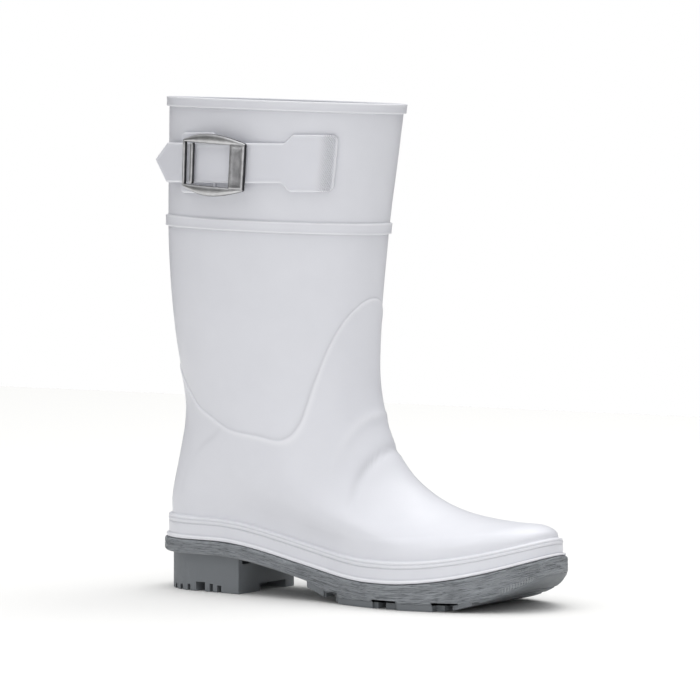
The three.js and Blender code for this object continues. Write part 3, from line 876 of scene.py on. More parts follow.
# %% The upper
levels = level_at(np.array(heights))
angle_grid = np.broadcast_to(angles, levels.shape)
base_points = last_point(levels, angle_grid).reshape(-1, 3)
fold_out, fold_groove, fold_ridge = (table.reshape(levels.shape) for table in folds_at(base_points))
fade_above_foxing = smooth((np.array(heights) - foxing_top) / 5)
is_outer = (np.arange(len(heights)) < outer_rows)[:, None]
fold_out = fold_out * fade_above_foxing
wall_out = np.array(outs) + fold_out
upper_places = shell_point(levels, angle_grid, wall_out)
# The folds add painted shade in their grooves and painted highlight on their ridges to the outer rows
upper_groove = np.array(grooves) + np.where(is_outer, fold_groove * fade_above_foxing, 0)
upper_edge = np.array(edges_lit) + np.where(is_outer, fold_ridge * fade_above_foxing, 0)
upper_bm = skin_of(upper_places, along=True, values={"groove": upper_groove, "edge": upper_edge})
settle(upper_bm, "upper_shell", white_rubber, "white_rubber", "upper")

# %% [markdown]
# ## Grey rubber
# The sole is a harder, matt grey rubber. Its side strip is moulded with a fine grain like split wood, thin
# ridges that run along the boot and fork. The larger ridges are in the mesh, and the material adds what is
# finer still: it reads how far a point lies below the strip's top, so that the grain follows the sole's
# wave. Under the toe the strip has short upright ribs, which the material draws as a wave round the sole.

# %% Group: split grain
split_grain, inside, outside = new_group(
    "split_grain",
    [("Along", "NodeSocketFloat", 70.0), ("Across", "NodeSocketFloat", 1.35)],
    [("Height", "NodeSocketFloat"), ("Mask", "NodeSocketFloat")],
)
where = split_grain.nodes.new("ShaderNodeTexCoord").outputs["Object"]
place = add_node(split_grain, "ShaderNodeSeparateXYZ", None, Vector=where)
stretched = add_node(
    split_grain,
    "ShaderNodeCombineXYZ",
    None,
    X=maths(split_grain, "MULTIPLY", place.outputs["X"], inside.outputs["Along"]),
    Y=maths(split_grain, "MULTIPLY", place.outputs["Y"], inside.outputs["Along"]),
    Z=maths(split_grain, "MULTIPLY", attribute(split_grain, "below_top"), inside.outputs["Across"]),
)
# A crack lies wherever the noise passes through its middle value
cracks = []
for scale in (1.0, 2.1):
    field = noise_field(split_grain, stretched.outputs[0], scale, 1.0)
    from_line = maths(split_grain, "ABSOLUTE", maths(split_grain, "SUBTRACT", field, 0.5))
    cracks.append(maths(split_grain, "MULTIPLY", from_line, 20.0, clamp=True))
narrow_share = spread(split_grain, cracks[1], 0.0, 1.0, 0.4, 1.0)
ragged = maths(split_grain, "MULTIPLY", cracks[0], narrow_share)
split_grain.links.new(ragged, outside.inputs["Height"])
split_grain.links.new(attribute(split_grain, "strip"), outside.inputs["Mask"])
print("group split_grain:", len(split_grain.nodes), "nodes")

# %% Grey rubber material
grey_rubber, tree, shader = start_material("grey_rubber_skin")
skin = place_group(tree, moulded_skin, Fine_scale=1900.0, Broad_scale=90.0, Fine_share=0.5)
grain = place_group(tree, split_grain, Along=62.0, Across=2.3)
tone = mix_colour(tree, skin.outputs["Mottle"], (0.172, 0.186, 0.200, 1), (0.194, 0.207, 0.222, 1))
ridge = spread(tree, grain.outputs["Height"], 0.05, 0.8, 0.0, 1.0)
on_strip = grain.outputs["Mask"]
line_tone = mix_colour(tree, ridge, (0.088, 0.097, 0.107, 1), (0.3, 0.318, 0.34, 1))
grained = mix_colour(tree, on_strip, tone, line_tone)
# The edge colour is a painted highlight on the strip's lower edge near the heel, where the floor throws
# light up
edges = place_group(
    tree,
    painted_shade_and_highlight,
    Colour=grained,
    Groove_colour=(0.075, 0.08, 0.087, 1),
    Edge_colour=(0.3, 0.31, 0.325, 1),
    Groove_strength=0.8,
    Edge_strength=0.6,
)
rough = spread(tree, skin.outputs["Mottle"], 0.3, 0.7, 0.5, 0.68)
tree.links.new(rough, shader.inputs["Roughness"])
shader.inputs["Specular IOR Level"].default_value = 0.4
strip_relief = maths(tree, "MULTIPLY", maths(tree, "MULTIPLY", ridge, on_strip), 1.6)
rib_spacing = 1.5
rib_wave = maths(tree, "SINE", maths(tree, "MULTIPLY", attribute(tree, "round"), 2 * math.pi / rib_spacing))
rib_relief = maths(tree, "MULTIPLY", rib_wave, attribute(tree, "toe_ribs"))
on_rib = maths(tree, "MULTIPLY", rib_relief, 0.8, clamp=True)
rib_tone = mix_colour(tree, on_rib, edges.outputs["Colour"], (0.42, 0.44, 0.46, 1))
tree.links.new(rib_tone, shader.inputs["Base Color"])
relief = maths(tree, "ADD", strip_relief, maths(tree, "MULTIPLY", rib_relief, 1.2))
bump(tree, shader, maths(tree, "ADD", skin.outputs["Height"], relief), 0.0004, 0.6)
print("material", grey_rubber.name)

# %% [markdown]
# ## Outsole
# The sole is one moulding in the hand, and three forms to model: the strip with its plate, the heel block,
# and the tread under the forefoot. Each starts from the last's lowest ring, moved out to the sole's edge,
# because a maker trims the sole to the boot. The slots between the lugs are cut away with boxes at the end.

# %% Heights of the sole
strip_thickness = 7.5
strip_rounding = 2.6
toe_thickening = 1.2
heel_block_inset = 4.6
heel_block_length = 60
heel_width = 58
tread_inset = 1.4
tread_depth = 3.2
waist_rise = 9
toe_spring = 18


def top_of(x):
    return sole_top(share_of(x)) - gap


def tread_depth_at(x):
    return tread_depth * (1 - 0.75 * smooth((x / sole_length - 0.78) / 0.14))


def tread_bottom(x):
    waist = 1 - smooth((x / sole_length - 0.4) / 0.16)
    toe = np.maximum(x / sole_length - 0.8, 0) / 0.2
    return waist_rise * waist + (toe_spring - 0.25 * tread_depth) * toe**2 + tread_depth - tread_depth_at(x)


def underside(x):
    strip = top_of(x) - strip_thickness - toe_thickening * smooth((x / sole_length - 0.8) / 0.2)
    tread = tread_bottom(x) + tread_depth_at(x)
    return strip + (np.minimum(tread, strip) - strip) * smooth((x / sole_length - 0.38) / 0.12)


def sole_ring(out, height_of, count):
    """The feather line's ring moved out, at heights that depend on the place along the boot."""
    places = shell_point(0, ring_angles(count), out)
    places[:, 2] = height_of(places[:, 0])
    return places


print("sole: heel", heel_top, "mm, ball", ball_top, "mm, toe", toe_top, "mm high")

# %% Strip and plate
strip_points = 520
# The rounded edges: how far out from the sole's margin, and how high above the underside or below the top
lower_rows = [(-1.95, 0.0), (-1.35, 0.12), (-0.85, 0.32), (-0.45, 0.62), (-0.18, 1.1), (-0.04, 1.7)]
upper_rows = [(-0.02, 1.2), (-0.12, 0.75), (-0.35, 0.35), (-0.7, 0.08), (-1.1, 0.0)]
grain_rows = 26
grain_height = 0.24
below_upper_edge = 1.5


def grain_at(places, below):
    """Ridges along the strip, with grooves between them where a stretched noise passes through zero."""
    table = np.zeros(len(places))
    for i, (x, y, _) in enumerate(places):
        broad = noise.noise(Vector((x * 0.04, y * 0.04, below[i] * 1.1)))
        narrow = noise.noise(Vector((x * 0.08, y * 0.08, below[i] * 1.9 + 7)))
        table[i] = min(abs(broad) * 6, 1) + 0.5 * min(abs(narrow) * 5, 1) - 1
    return table


strip_places = []
strip_rows = {"below_top": [], "strip": [], "toe_ribs": [], "edge": []}


def add_strip_row(out, height_of, grained):
    """One row round the strip, with its share of the grain's relief, its masks for the material and its
    painted highlight.
    """
    places = sole_ring(sole_margin + out, height_of, strip_points)
    below = top_of(places[:, 0]) - places[:, 2]
    relief = grain_height * grained * grain_at(places, below)
    places = sole_ring(sole_margin + out + relief, height_of, strip_points)
    strip_places.append(places)
    height = (places[:, 2] - underside(places[:, 0])) / strip_thickness
    share = share_of(places[:, 0])
    near_toe = smooth((share - 0.935) / 0.015) * smooth((0.998 - share) / 0.008)
    strip_rows["below_top"].append(below)
    strip_rows["strip"].append(np.full(strip_points, 1.0 if grained else 0.3))
    strip_rows["toe_ribs"].append(near_toe * smooth((0.36 - height) / 0.06))
    # The lowest rows towards the heel get a painted highlight, for the light that the floor throws up
    strip_rows["edge"].append(smooth((0.16 - height) / 0.1) * smooth((0.42 - share) / 0.1))


for out, rise in lower_rows:
    add_strip_row(out, lambda x: underside(x) + rise, 0.6 * rise)
for share in np.linspace(0, 1, grain_rows):
    add_strip_row(
        0,
        lambda x: (underside(x) + strip_rounding) * (1 - share) + (top_of(x) - below_upper_edge) * share,
        1.0,
    )
for out, drop in upper_rows:
    add_strip_row(out, lambda x: top_of(x) - drop, 0.3 * drop)
bottom = zipped(strip_places[0], 7)
top = zipped(strip_places[-1], 5)
for row in bottom:
    row[:, 2] = underside(row[:, 0])
for row in top:
    row[:, 2] = top_of(row[:, 0])
all_places = bottom[::-1] + strip_places + top

# Each point's way round the sole in mm, for the ribs under the toe
edge_ring = sole_ring(sole_margin, top_of, strip_points)
ring_steps = np.linalg.norm(np.roll(edge_ring, -1, 0) - edge_ring, axis=1)
round_the_sole = np.concatenate([[0], np.cumsum(ring_steps)[:-1]])
no_values = np.zeros(strip_points)
plate_values = {
    name: np.array([no_values] * len(bottom) + rows + [no_values] * len(top))
    for name, rows in strip_rows.items()
}
plate_values["round"] = np.broadcast_to(round_the_sole, (len(all_places), strip_points))
plate_bm = skin_of(all_places, values=plate_values)
print("strip rows:", len(all_places), "points round:", strip_points)

# %% Cuts
def cut(bm, boxes):
    """Cuts boxes, each a lowest and a highest corner, out of a bmesh with an exact boolean."""
    cutter_bm = bmesh.new()
    for low, high in np.array(boxes, float):
        made = bmesh.ops.create_cube(cutter_bm, size=1)["verts"]
        bmesh.ops.scale(cutter_bm, vec=high - low, verts=made)
        bmesh.ops.translate(cutter_bm, vec=(high + low) / 2, verts=made)
    cutter = make_object("cutter", cutter_bm)
    body = make_object("body", bm)
    knife = body.modifiers.new("cut", "BOOLEAN")
    knife.operation = "DIFFERENCE"
    knife.solver = "EXACT"
    knife.use_self = True
    knife.object = cutter
    depsgraph = bpy.context.evaluated_depsgraph_get()
    result = bmesh.new()
    result.from_mesh(bpy.data.meshes.new_from_object(body.evaluated_get(depsgraph)))
    for temporary in (cutter, body):
        bpy.data.objects.remove(temporary)
    return result


def keep_side(bm, x, side):
    """Cuts a bmesh off at x and closes it. side 1 keeps the part towards the heel, and -1 the toe's."""
    bmesh.ops.bisect_plane(
        bm,
        geom=bm.verts[:] + bm.edges[:] + bm.faces[:],
        plane_co=(x, 0, 0),
        plane_no=(side, 0, 0),
        clear_outer=True,
    )
    close_holes(bm)


# From and to along the sole as shares of its length, and height as a share of the strip's thickness
recess_rows = [(0.497, 0.542, 0.2), (0.645, 0.709, 0.2), (0.789, 0.845, 0.2)]
recess_depth = 4
cut_corner = 50
side_ring = sole_ring(sole_margin, underside, 720)
recesses = []
for start, end, high in recess_rows:
    middle = (start + end) / 2 * sole_length
    ceiling = float(underside(middle)) + high * strip_thickness
    for side in (-1, 1):
        on_side = side_ring[side_ring[:, 1] * side > 0]
        edge_y = abs(on_side[np.argmin(np.abs(on_side[:, 0] - middle)), 1])
        near, far = sorted((side * (edge_y - recess_depth), side * ball_width))
        recesses.append(((start * sole_length, near, -1), (end * sole_length, far, ceiling)))
plate_bm = cut(plate_bm, recesses)
sole_strip = settle(plate_bm, "sole_strip", grey_rubber, "grey_rubber", "outsole")
sharpen(sole_strip, cut_corner)

# %% Heel block
block_points = 300
block_inset = sole_margin - heel_block_inset
block_straight = 19.2
block_corner = 35
block_rows = [(block_inset - 0.5, 0.0), (block_inset - 0.15, 0.12), (block_inset, 0.45)]
block_rows += [(block_inset, rise) for rise in (2, 4, 6, 8, 10, 12, 14, 16, 18, block_straight)]
block_places = [sole_ring(out, lambda x: 0 * x + rise, block_points) for out, rise in block_rows]


def block_top(x):
    return top_of(x) - 0.9 * strip_thickness


# Above its straight part the block flares out a little to meet the strip
for share in np.arange(1, 7) / 6:
    flare = block_inset + 0.35 * heel_block_inset * share**2
    block_places.append(
        sole_ring(flare, lambda x: block_straight * (1 - share) + block_top(x) * share, block_points)
    )
block_places = zipped(block_places[0], 5)[::-1] + block_places + zipped(block_places[-1], 3)
block_bm = skin_of(block_places)
keep_side(block_bm, heel_block_length, 1)

# From and to as shares of the block's length, and height as a share of the heel's
notch_rows = [
    (0.233, 0.267, 0.094),
    (0.325, 0.358, 0.108),
    (0.425, 0.458, 0.122),
    (0.525, 0.625, 0.18),
    (0.675, 0.713, 0.158),
    (0.76, 0.807, 0.137),
]
notch_depth = 0.12 * heel_width
notches = []
for start, end, high in notch_rows:
    for side in (-1, 1):
        edge_y = side * (heel_width / 2 - heel_block_inset)
        low_corner = (start * heel_block_length, edge_y - notch_depth, -1)
        high_corner = (end * heel_block_length, edge_y + notch_depth, high * heel_top)
        notches.append((low_corner, high_corner))

# Hollows in the breast, at its foot and under the strip: depth, from and to across, from and to in height
breast_hollows = [(12, -0.135, 0.275, -0.04, 0.15), (7, -0.41, -0.1, 0.56, 0.68)]
for depth, left, right, low, high in breast_hollows:
    low_corner = (heel_block_length - depth, left * heel_width, low * heel_top)
    high_corner = (heel_block_length + 1, right * heel_width, high * heel_top)
    notches.append((low_corner, high_corner))
block_bm = cut(block_bm, notches)
heel_block = settle(block_bm, "heel_block", grey_rubber, "grey_rubber", "outsole")
sharpen(heel_block, block_corner)

# %% Forefoot tread
tread_from = 0.45 * sole_length


def tread_top(x):
    return underside(x) + 0.5 * tread_depth


# How far out, and the share of the way from the tread's bottom to its top inside the strip
tread_rows = [(-0.5, 0.0), (-0.1, 0.15), (0.0, 0.5), (0.35, 1.0)]
tread_places = [
    sole_ring(
        sole_margin - tread_inset + out,
        lambda x: tread_bottom(x) * (1 - share) + tread_top(x) * share,
        block_points,
    )
    for out, share in tread_rows
]
tread_low = zipped(tread_places[0], 6)
for row in tread_low:
    row[:, 2] = tread_bottom(row[:, 0])
tread_high = zipped(tread_places[-1], 3)
for row in tread_high:
    row[:, 2] = tread_top(row[:, 0])
tread_bm = skin_of(tread_low[::-1] + tread_places + tread_high)
keep_side(tread_bm, tread_from, -1)

# Grooves across the tread, from and to along the sole as shares of its length
groove_rows = [(0.5, 0.525), (0.655, 0.675), (0.81, 0.83), (0.87, 0.885), (0.915, 0.925)]
grooves = []
for start, end in groove_rows:
    middle = (start + end) / 2 * sole_length
    ceiling = float(tread_bottom(middle) + tread_depth_at(middle))
    grooves.append(((start * sole_length, -ball_width, -1), (end * sole_length, ball_width, ceiling)))
tread_bm = cut(tread_bm, grooves + recesses)
tread = settle(tread_bm, "forefoot_tread", grey_rubber, "grey_rubber", "outsole")
sharpen(tread, block_corner)

# %% [markdown]
# ## Inside the boot
# Rain boots are lined with a thin knitted cloth, glued to the wall and cut off a little below the rim, and
# a soft footbed lies on the sole. Both are seen only from above, but they tell the eye that the boot is
# hollow. The knit is charted as rows of small loops in the cloth's own measure, round the leg and down it.

# %% Knit and felt
knit_cloth, tree, shader = start_material("knit_lining")
chart = tree.nodes.new("ShaderNodeUVMap")
chart.uv_map = "surface"
wales = add_node(tree, "ShaderNodeTexWave", None, Vector=chart.outputs["UV"], Scale=0.42)
across = {"bands_direction": "Y"}
courses = add_node(tree, "ShaderNodeTexWave", across, Vector=chart.outputs["UV"], Scale=0.3, Distortion=1.5)
loops_height = maths(tree, "MULTIPLY", wales.outputs["Fac"], courses.outputs["Fac"])
cloth_tone = mix_colour(tree, loops_height, (0.52, 0.53, 0.55, 1), (0.78, 0.79, 0.81, 1))
tree.links.new(cloth_tone, shader.inputs["Base Color"])
shader.inputs["Roughness"].default_value = 0.95
shader.inputs["Sheen Weight"].default_value = 0.35
bump(tree, shader, loops_height, 0.0005, 0.6)

footbed_cloth, tree, shader = start_material("footbed_cloth")
skin = place_group(tree, moulded_skin, Fine_scale=2400.0, Broad_scale=60.0, Fine_share=1.2)
cloth_tone = mix_colour(tree, skin.outputs["Height"], (0.30, 0.31, 0.33, 1), (0.55, 0.56, 0.58, 1))
tree.links.new(cloth_tone, shader.inputs["Base Color"])
shader.inputs["Roughness"].default_value = 0.97
shader.inputs["Sheen Weight"].default_value = 0.3
bump(tree, shader, skin.outputs["Height"], 0.0006, 0.8)
print("materials", knit_cloth.name, footbed_cloth.name)

# %% Lining
lining_points = 160
lining_thick = 0.8
lining_top = collar_z - 6
lining_low = feather + 4.6
lining_angles = ring_angles(lining_points)


def lining_row(height, out):
    return shell_point(level_at(height), lining_angles, out)


lining_heights = np.linspace(lining_top, lining_low, 90)
facing = -wall - 0.05
lining_rows = [lining_row(height, facing - lining_thick) for height in lining_heights[::-1]]
top_row = lining_rows[-1]
lining_rows += [lining_row(lining_top + 0.3, facing - 0.55 * lining_thick)]
lining_rows += [lining_row(height, facing) for height in lining_heights]
girth = np.linalg.norm(np.diff(top_row, axis=0, append=top_row[:1]), axis=1)
round_mm = np.concatenate([[0], np.cumsum(girth)])
down_mm = np.concatenate([lining_heights[::-1], [lining_top + 0.5], 2 * lining_top - lining_heights])
lining_chart = np.stack(
    np.broadcast_arrays(round_mm[None, :], np.append(down_mm, down_mm[-1] + 1)[:, None]), axis=-1
)
lining_bm = skin_of(lining_rows, along=True, surface=lining_chart)
settle(lining_bm, "lining", knit_cloth, "footbed")

# %% Footbed
footbed_low = feather + gap / 2
footbed_high = feather + 3.5
footbed_edge = [(footbed_low, 0), (footbed_low + 0.6, 0), (footbed_high - 0.7, -0.05), (footbed_high, -0.8)]
bed_rows = [lining_row(height, -wall - gap + out) for height, out in footbed_edge]
bed_rows = zipped(bed_rows[0], 4)[::-1] + bed_rows + zipped(bed_rows[-1], 8)
settle(skin_of(bed_rows), "footbed", footbed_cloth, "footbed", "insole")

# %% [markdown]
# ## Strap and its pads
# A strap of the same white rubber runs round the outer side. Its front end widens to a pad that is moulded
# to the shaft, and its pointed end passes through the buckle and stands free. A second pad under the buckle
# carries it. Both are thin strips with rounded edges and a low bead along them, laid on the shaft's curve.

# %% Strap rubber
strap_rubber = rubber(
    "strap_rubber_skin",
    light=(0.705, 0.713, 0.765),
    dark=(0.688, 0.696, 0.748),
    # Painted shade for grooves and a painted highlight for edges, as on the upper
    groove_shade_colour=(0.44, 0.445, 0.48),
    edge_highlight_colour=(0.88, 0.885, 0.92),
    fine_scale=1800.0,
    grip=(0.34, 0.46),
)
# The front pad's diagonal ribs come over that rubber
tree = strap_rubber.node_tree
shader = tree.nodes["Principled BSDF"]
chart = tree.nodes.new("ShaderNodeUVMap")
chart.uv_map = "surface"
slant = (0, 0, math.radians(38))
turned = add_node(tree, "ShaderNodeMapping", None, Vector=chart.outputs["UV"], Rotation=slant)
ribs = add_node(tree, "ShaderNodeTexWave", None, Vector=turned.outputs["Vector"], Scale=0.31)
rib_height = maths(tree, "MULTIPLY", ribs.outputs["Fac"], attribute(tree, "ribbed"))
plain_normal = shader.inputs["Normal"].links[0].from_socket
plain_colour = shader.inputs["Base Color"].links[0].from_socket
on_rib = maths(tree, "MULTIPLY", rib_height, 0.7)
ribbed_colour = mix_colour(tree, on_rib, plain_colour, (0.54, 0.547, 0.595, 1))
tree.links.new(ribbed_colour, shader.inputs["Base Color"])
rib_bump = bump(tree, shader, rib_height, 0.0004, 0.8)
tree.links.new(plain_normal, rib_bump.inputs["Normal"])
print("material", strap_rubber.name)

# %% Strips on the shaft
strap_width = 21
strap_thickness = 2
strap_tip = 24
pad_thickness = 1.6
front_pad_height = 30
anchor_height = 32
anchor_above_band = 11.6
strap_z = band_top + anchor_above_band + anchor_height / 2
strap_over = 2 * gap + pad_thickness
side_radius = 0.484 * shaft_length
ring_fall = rings[collar - 1][2] - rings[collar - 1][3]
strap_from = math.radians(38)
free_from = math.radians(124)
climb_from = 70
climb_over = 16


def side_point(turn_angle, rise, out):
    turn_angle, rise, out = np.broadcast_arrays(np.asarray(turn_angle, float), rise, out)
    share = (1 + np.cos(turn_angle)) / 2
    return shell_point(level_at(strap_z + rise + ring_fall * share), -turn_angle, out)


def strap_point(length, rise, out):
    """A point on the strap. Length runs from its front end back, over the anchor and off the shaft."""
    turn_angle = strap_from + length / side_radius
    free = np.maximum(turn_angle - free_from, 0) * side_radius
    on_shaft = np.minimum(turn_angle, free_from)
    climb = smooth((np.degrees(on_shaft) - climb_from) / climb_over)
    base = gap + (strap_over - gap) * climb + out
    start = side_point(on_shaft, rise, base)
    ahead = side_point(np.full_like(on_shaft, free_from + 0.02), rise, base)
    ahead = ahead - side_point(np.full_like(on_shaft, free_from), rise, base)
    ahead[..., 2] = 0
    ahead /= np.linalg.norm(ahead, axis=-1, keepdims=True)
    return start + ahead * free[..., None]


edge_steps = np.array([0, 0.06, 0.16, 0.34, 0.6, 0.95, 1.4, 2.0, 2.8])


def strip_piece(stations, half_of, lift_of, thickness, round_edge, bead, place, end_lengths):
    """Loops round a strip: up its face from edge to edge, and down its back.

    Returns the loops, which points are on the face, each one's painted highlight, and its place on the
    strip.
    """
    loops, masks, lit, charts = [], [], [], []
    for length in stations:
        half = max(float(half_of(length)), 0.02)
        steps = edge_steps * min(1, half / edge_steps[-1] / 1.3)
        inner = np.linspace(steps[-1], 2 * half - steps[-1], 11)[1:-1]
        from_low = np.concatenate([steps, inner, 2 * half - steps[::-1]])
        from_side = np.minimum(from_low, 2 * half - from_low)
        from_end = min(abs(length - end_lengths[0]), abs(length - end_lengths[1]))
        depth = np.minimum(from_side, from_end)
        curve = np.clip(depth / round_edge, 0, 1)
        out = thickness * (0.45 + 0.55 * np.sqrt(1 - (1 - curve) ** 2))
        out = out + bead * np.exp(-(((depth - 1.2) / 0.8) ** 2))
        rise = from_low - half + lift_of(length)
        rise = np.concatenate([rise, rise[::-1][:: len(rise) // 3]])
        back = np.zeros(len(rise) - len(from_low))
        along = np.full(len(rise), length)
        loops.append(place(along, rise, np.concatenate([out, back])))
        masks.append(np.concatenate([np.ones(len(from_low)), back]))
        lit.append(np.concatenate([np.exp(-(((depth - 0.5) / 0.4) ** 2)), back]))
        charts.append(np.stack([along, rise], axis=-1))
    return np.array(loops), np.array(masks), np.array(lit), np.array(charts)


def charted(charts):
    """The chart with its first column repeated, as skin_of repeats it to close the strip."""
    return np.concatenate([charts, charts[:, :1]], axis=1)


# %% The strap
strap_end = (free_from - strap_from) * side_radius + strap_tip
point_length = 12.5
tip_lift = 1.6
flare_start, flare_end = 25.5, 31.5
corner = 4.2


def share_of_point(length):
    """How far into its pointed end the strap is, from 0 to 1."""
    return max((length - (strap_end - point_length)) / point_length, 0)


def strap_half(length):
    pad_half = front_pad_height / 2
    if length < corner:
        return pad_half - corner + math.sqrt(max(corner**2 - (corner - length) ** 2, 0)) + 0.02
    to_strap = float(smooth((length - flare_start) / (flare_end - flare_start)))
    half = pad_half + (strap_width / 2 - pad_half) * to_strap
    return half * (1 - 0.985 * share_of_point(length))


fine_start = corner * (1 - np.cos(np.linspace(0, np.pi / 2, 14)))
point_start = strap_end - point_length
middle_stations = np.linspace(corner, point_start, 130)[1:]
point_stations = np.linspace(point_start, strap_end, 24)[1:]
loops, faces_on, lit, charts = strip_piece(
    np.concatenate([fine_start, middle_stations, point_stations]),
    strap_half,
    lambda length: tip_lift * share_of_point(length),
    thickness=strap_thickness - 0.3,
    round_edge=0.7,
    bead=0.3,
    place=strap_point,
    end_lengths=(0, strap_end + 50),
)
ribbed = faces_on * smooth((12.5 - charts[..., 0]) / 7.5) * smooth((charts[..., 0] - 1.2) / 1)
strap_bm = skin_of(loops, values={"ribbed": ribbed, "edge": lit}, surface=charted(charts))
close_holes(strap_bm)
settle(strap_bm, "strap_band", strap_rubber, "strap_rubber", "strap")

# %% The anchor pad
anchor_start = math.radians(99)
anchor_end = math.radians(124.5)
anchor_length = (anchor_end - anchor_start) * side_radius


def anchor_half(length):
    near = min(length, anchor_length - length)
    half = anchor_height / 2
    if near < corner:
        half = half - corner + math.sqrt(max(corner**2 - (corner - near) ** 2, 0)) + 0.02
    return half


def anchor_point(length, rise, out):
    return side_point(anchor_start + length / side_radius, rise, gap + out)


anchor_stations = np.concatenate(
    [fine_start, np.linspace(corner, anchor_length - corner, 28)[1:-1], anchor_length - fine_start[::-1]]
)
loops, faces_on, lit, charts = strip_piece(
    anchor_stations,
    anchor_half,
    lambda length: 0,
    thickness=pad_thickness - 0.15,
    round_edge=0.7,
    bead=0.15,
    place=anchor_point,
    end_lengths=(0, anchor_length),
)
anchor_bm = skin_of(loops, values={"ribbed": 0 * faces_on, "edge": lit}, surface=charted(charts))
close_holes(anchor_bm)
settle(anchor_bm, "anchor_pad", strap_rubber, "strap_rubber", "strap_anchor")

# %% [markdown]
# ## Pewter buckle
# The buckle is a cast frame in antique pewter: two crescent rails that are straight inside and arched
# outside, a thin bar at the back, a wide plate at the front and a second bar that the strap's end runs
# under. Its colour is dark along the rims and borders, for the antique plating's patina in its corners and
# for painted shade, and brighter on the faces of the bars and along the plate's bead as a painted highlight.

# %% Pewter
pewter, tree, shader = start_material("antique_pewter")
skin = place_group(tree, moulded_skin, Fine_scale=2600.0, Broad_scale=260.0, Fine_share=0.6)
drift = spread(tree, skin.outputs["Mottle"], 0.35, 0.65, 0.0, 1.0)
tone = mix_colour(tree, drift, (0.4, 0.4, 0.415, 1), (0.55, 0.55, 0.565, 1))
# The groove colour is the patina in the corners together with painted shade, and the edge colour a painted
# highlight
edges = place_group(
    tree,
    painted_shade_and_highlight,
    Colour=tone,
    Groove_colour=(0.018, 0.018, 0.02, 1),
    Edge_colour=(0.86, 0.86, 0.86, 1),
    Groove_strength=0.95,
    Edge_strength=0.8,
)
tree.links.new(edges.outputs["Colour"], shader.inputs["Base Color"])
shader.inputs["Metallic"].default_value = 1.0
rough = maths(tree, "ADD", 0.26, maths(tree, "MULTIPLY", edges.outputs["Groove"], 0.3))
rough = maths(tree, "ADD", rough, maths(tree, "MULTIPLY", skin.outputs["Mottle"], 0.14))
tree.links.new(rough, shader.inputs["Roughness"])
where = tree.nodes.new("ShaderNodeTexCoord").outputs["Object"]
brushed = add_node(tree, "ShaderNodeMapping", None, Vector=where, Scale=(5200, 5200, 240))
brush_lines = maths(tree, "MULTIPLY", noise_field(tree, brushed.outputs["Vector"], 1.0, 1.0), 0.5)
bump(tree, shader, maths(tree, "ADD", brush_lines, skin.outputs["Height"]), 0.00015, 0.5)
print("material", pewter.name)

# %% Buckle frame
buckle_length = 41
buckle_height = 32.4
buckle_end_height = 25
buckle_window = 22
buckle_thickness = 2.4
buckle_bow = 0.8
buckle_drop = 1
buckle_tilt = 0.06
end_bar_width = 1.6
buckle_turn = math.radians(98.5)
ride_out = strap_over + strap_thickness + gap + buckle_thickness / 2
half_length = (buckle_length - end_bar_width) / 2


def buckle_point(along, rise, out):
    turn_angle = buckle_turn + along / side_radius
    return side_point(turn_angle, rise - buckle_drop + buckle_tilt * along, ride_out + out)


def bar_rows(along, rise, out, half_width):
    return np.stack(np.broadcast_arrays(along, rise, out, half_width), axis=1)


def bar_loops(path, thickness, closed, sides=20):
    """Loops of a domed bar with a flat back, its rims' patina and painted shade, and its face's painted
    highlight.
    """
    before, after = np.roll(path, 1, 0), np.roll(path, -1, 0)
    if not closed:
        before[0], after[-1] = path[0], path[-1]
    step = (after - before)[:, :2]
    step /= np.linalg.norm(step, axis=1, keepdims=True)
    around = -2 * np.pi * np.arange(sides) / sides - np.pi / sides
    across = path[:, 3:4] * np.sign(np.cos(around)) * np.abs(np.cos(around)) ** 0.8
    lift = np.sign(np.sin(around)) * np.abs(np.sin(around)) ** np.where(np.sin(around) > 0, 0.9, 0.45)
    along = path[:, 0:1] - across * step[:, 1:2]
    rise = path[:, 1:2] + across * step[:, 0:1]
    out = path[:, 2:3] + thickness / 2 * lift[None, :]
    rim_shade_and_patina = np.broadcast_to(np.abs(np.cos(around)) ** 5, along.shape)
    face_highlight = np.broadcast_to(np.clip(np.sin(around), 0, 1) ** 3, along.shape)
    return buckle_point(along, rise, out), rim_shade_and_patina, face_highlight


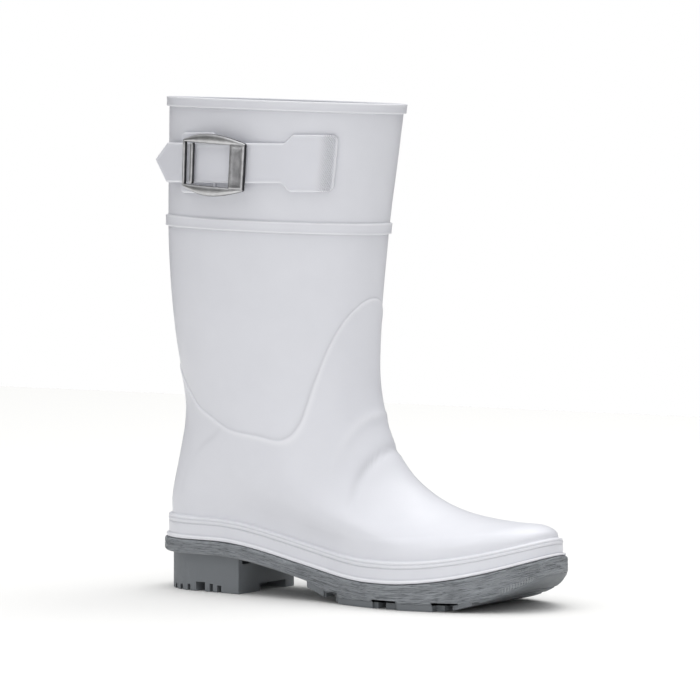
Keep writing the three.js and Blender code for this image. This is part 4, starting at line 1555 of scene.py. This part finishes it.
rail_points = 41
along_rail = half_length * np.sin(np.linspace(-np.pi / 2, np.pi / 2, rail_points))
arch = np.cos(along_rail / half_length * np.pi / 2)
outside_rise = buckle_end_height / 2 + (buckle_height - buckle_end_height) / 2 * arch
inside_rise = buckle_window / 2
rail_middle = (inside_rise + outside_rise) / 2
rail_half = (outside_rise - inside_rise) / 2
lower_rail = bar_rows(along_rail, -rail_middle, buckle_bow * arch, rail_half)
upper_rail = lower_rail[::-1] * [1, -1, 1, 1]
end_rises = np.linspace(-0.92, 0.92, 14) * inside_rise
back_bar = bar_rows(half_length, end_rises, 0, end_bar_width / 2)
front_bar = back_bar[::-1] * [-1, 1, 1, 1]
frame_path = np.concatenate([lower_rail, back_bar, upper_rail, front_bar])
# The rims' patina and painted shade become groove values, and the face's painted highlight edge values
loops, dark, face_highlight = bar_loops(frame_path, buckle_thickness, True)
frame_bm = skin_of(loops, along=True, values={"groove": dark, "edge": face_highlight * 0.6})
settle(frame_bm, "buckle_frame", pewter, "buckle_metal", "buckle")

# %% Buckle plate
plate_width = 8.6
plate_thickness = 1.8
plate_half = (buckle_window + end_bar_width) / 2
plate_raised = 0.6


def plate_point(length, rise, out):
    """A point on the plate, which covers the frame's front bar and stands a little over it."""
    along = length - half_length - end_bar_width / 2
    return buckle_point(along, rise, out - plate_thickness / 2 + plate_raised)


middle_stations = np.linspace(edge_steps[-1], plate_width - edge_steps[-1], 8)[1:-1]
loops, faces_on, lit, charts = strip_piece(
    np.concatenate([edge_steps, middle_stations, plate_width - edge_steps[::-1]]),
    lambda length: plate_half,
    lambda length: 0,
    thickness=plate_thickness,
    round_edge=0.35,
    bead=0.18,
    place=plate_point,
    end_lengths=(0, plate_width),
)
# The plate's border gets patina and painted shade, and a line just inside it on the face a painted highlight
border = np.minimum(charts[..., 0], plate_width - charts[..., 0])
border = np.minimum(border, plate_half - np.abs(charts[..., 1]))
plate_shade_and_patina = np.exp(-((border / 0.32) ** 2))
plate_lit = faces_on * np.exp(-(((border - 0.85) / 0.25) ** 2))
plate_bm = skin_of(loops, values={"groove": plate_shade_and_patina, "edge": 0.5 * plate_lit})
close_holes(plate_bm)
settle(plate_bm, "buckle_plate", pewter, "buckle_metal", "buckle")

# %% Second bar
second_bar_width = 2.2
second_bar_inset = 6
bar_rises = np.linspace(-1, 1, 16) * (inside_rise - gap)
bar_path = bar_rows(half_length - second_bar_inset, bar_rises, 0, second_bar_width / 2)
# The rims' patina and painted shade become groove values, and the face's painted highlight edge values
loops, dark, face_highlight = bar_loops(bar_path, second_bar_width, False)
bar_bm = skin_of(loops, values={"groove": dark, "edge": face_highlight * 0.4})
close_holes(bar_bm)
settle(bar_bm, "second_bar", pewter, "buckle_metal", "buckle_bar")

# %% [markdown]
# ## Finish
# The visual model's box is set against the CAD's, and how far it reaches beyond it is printed.
# The visual model has to stay inside the CAD's box.

# %% Sizes and finish
visual_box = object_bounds()
grown = [[round(1000 * (v - c), 1) for v, c in zip(a, b)] for a, b in zip(visual_box, cad_box)]
print("visual box beyond the CAD's, mm:", grown)
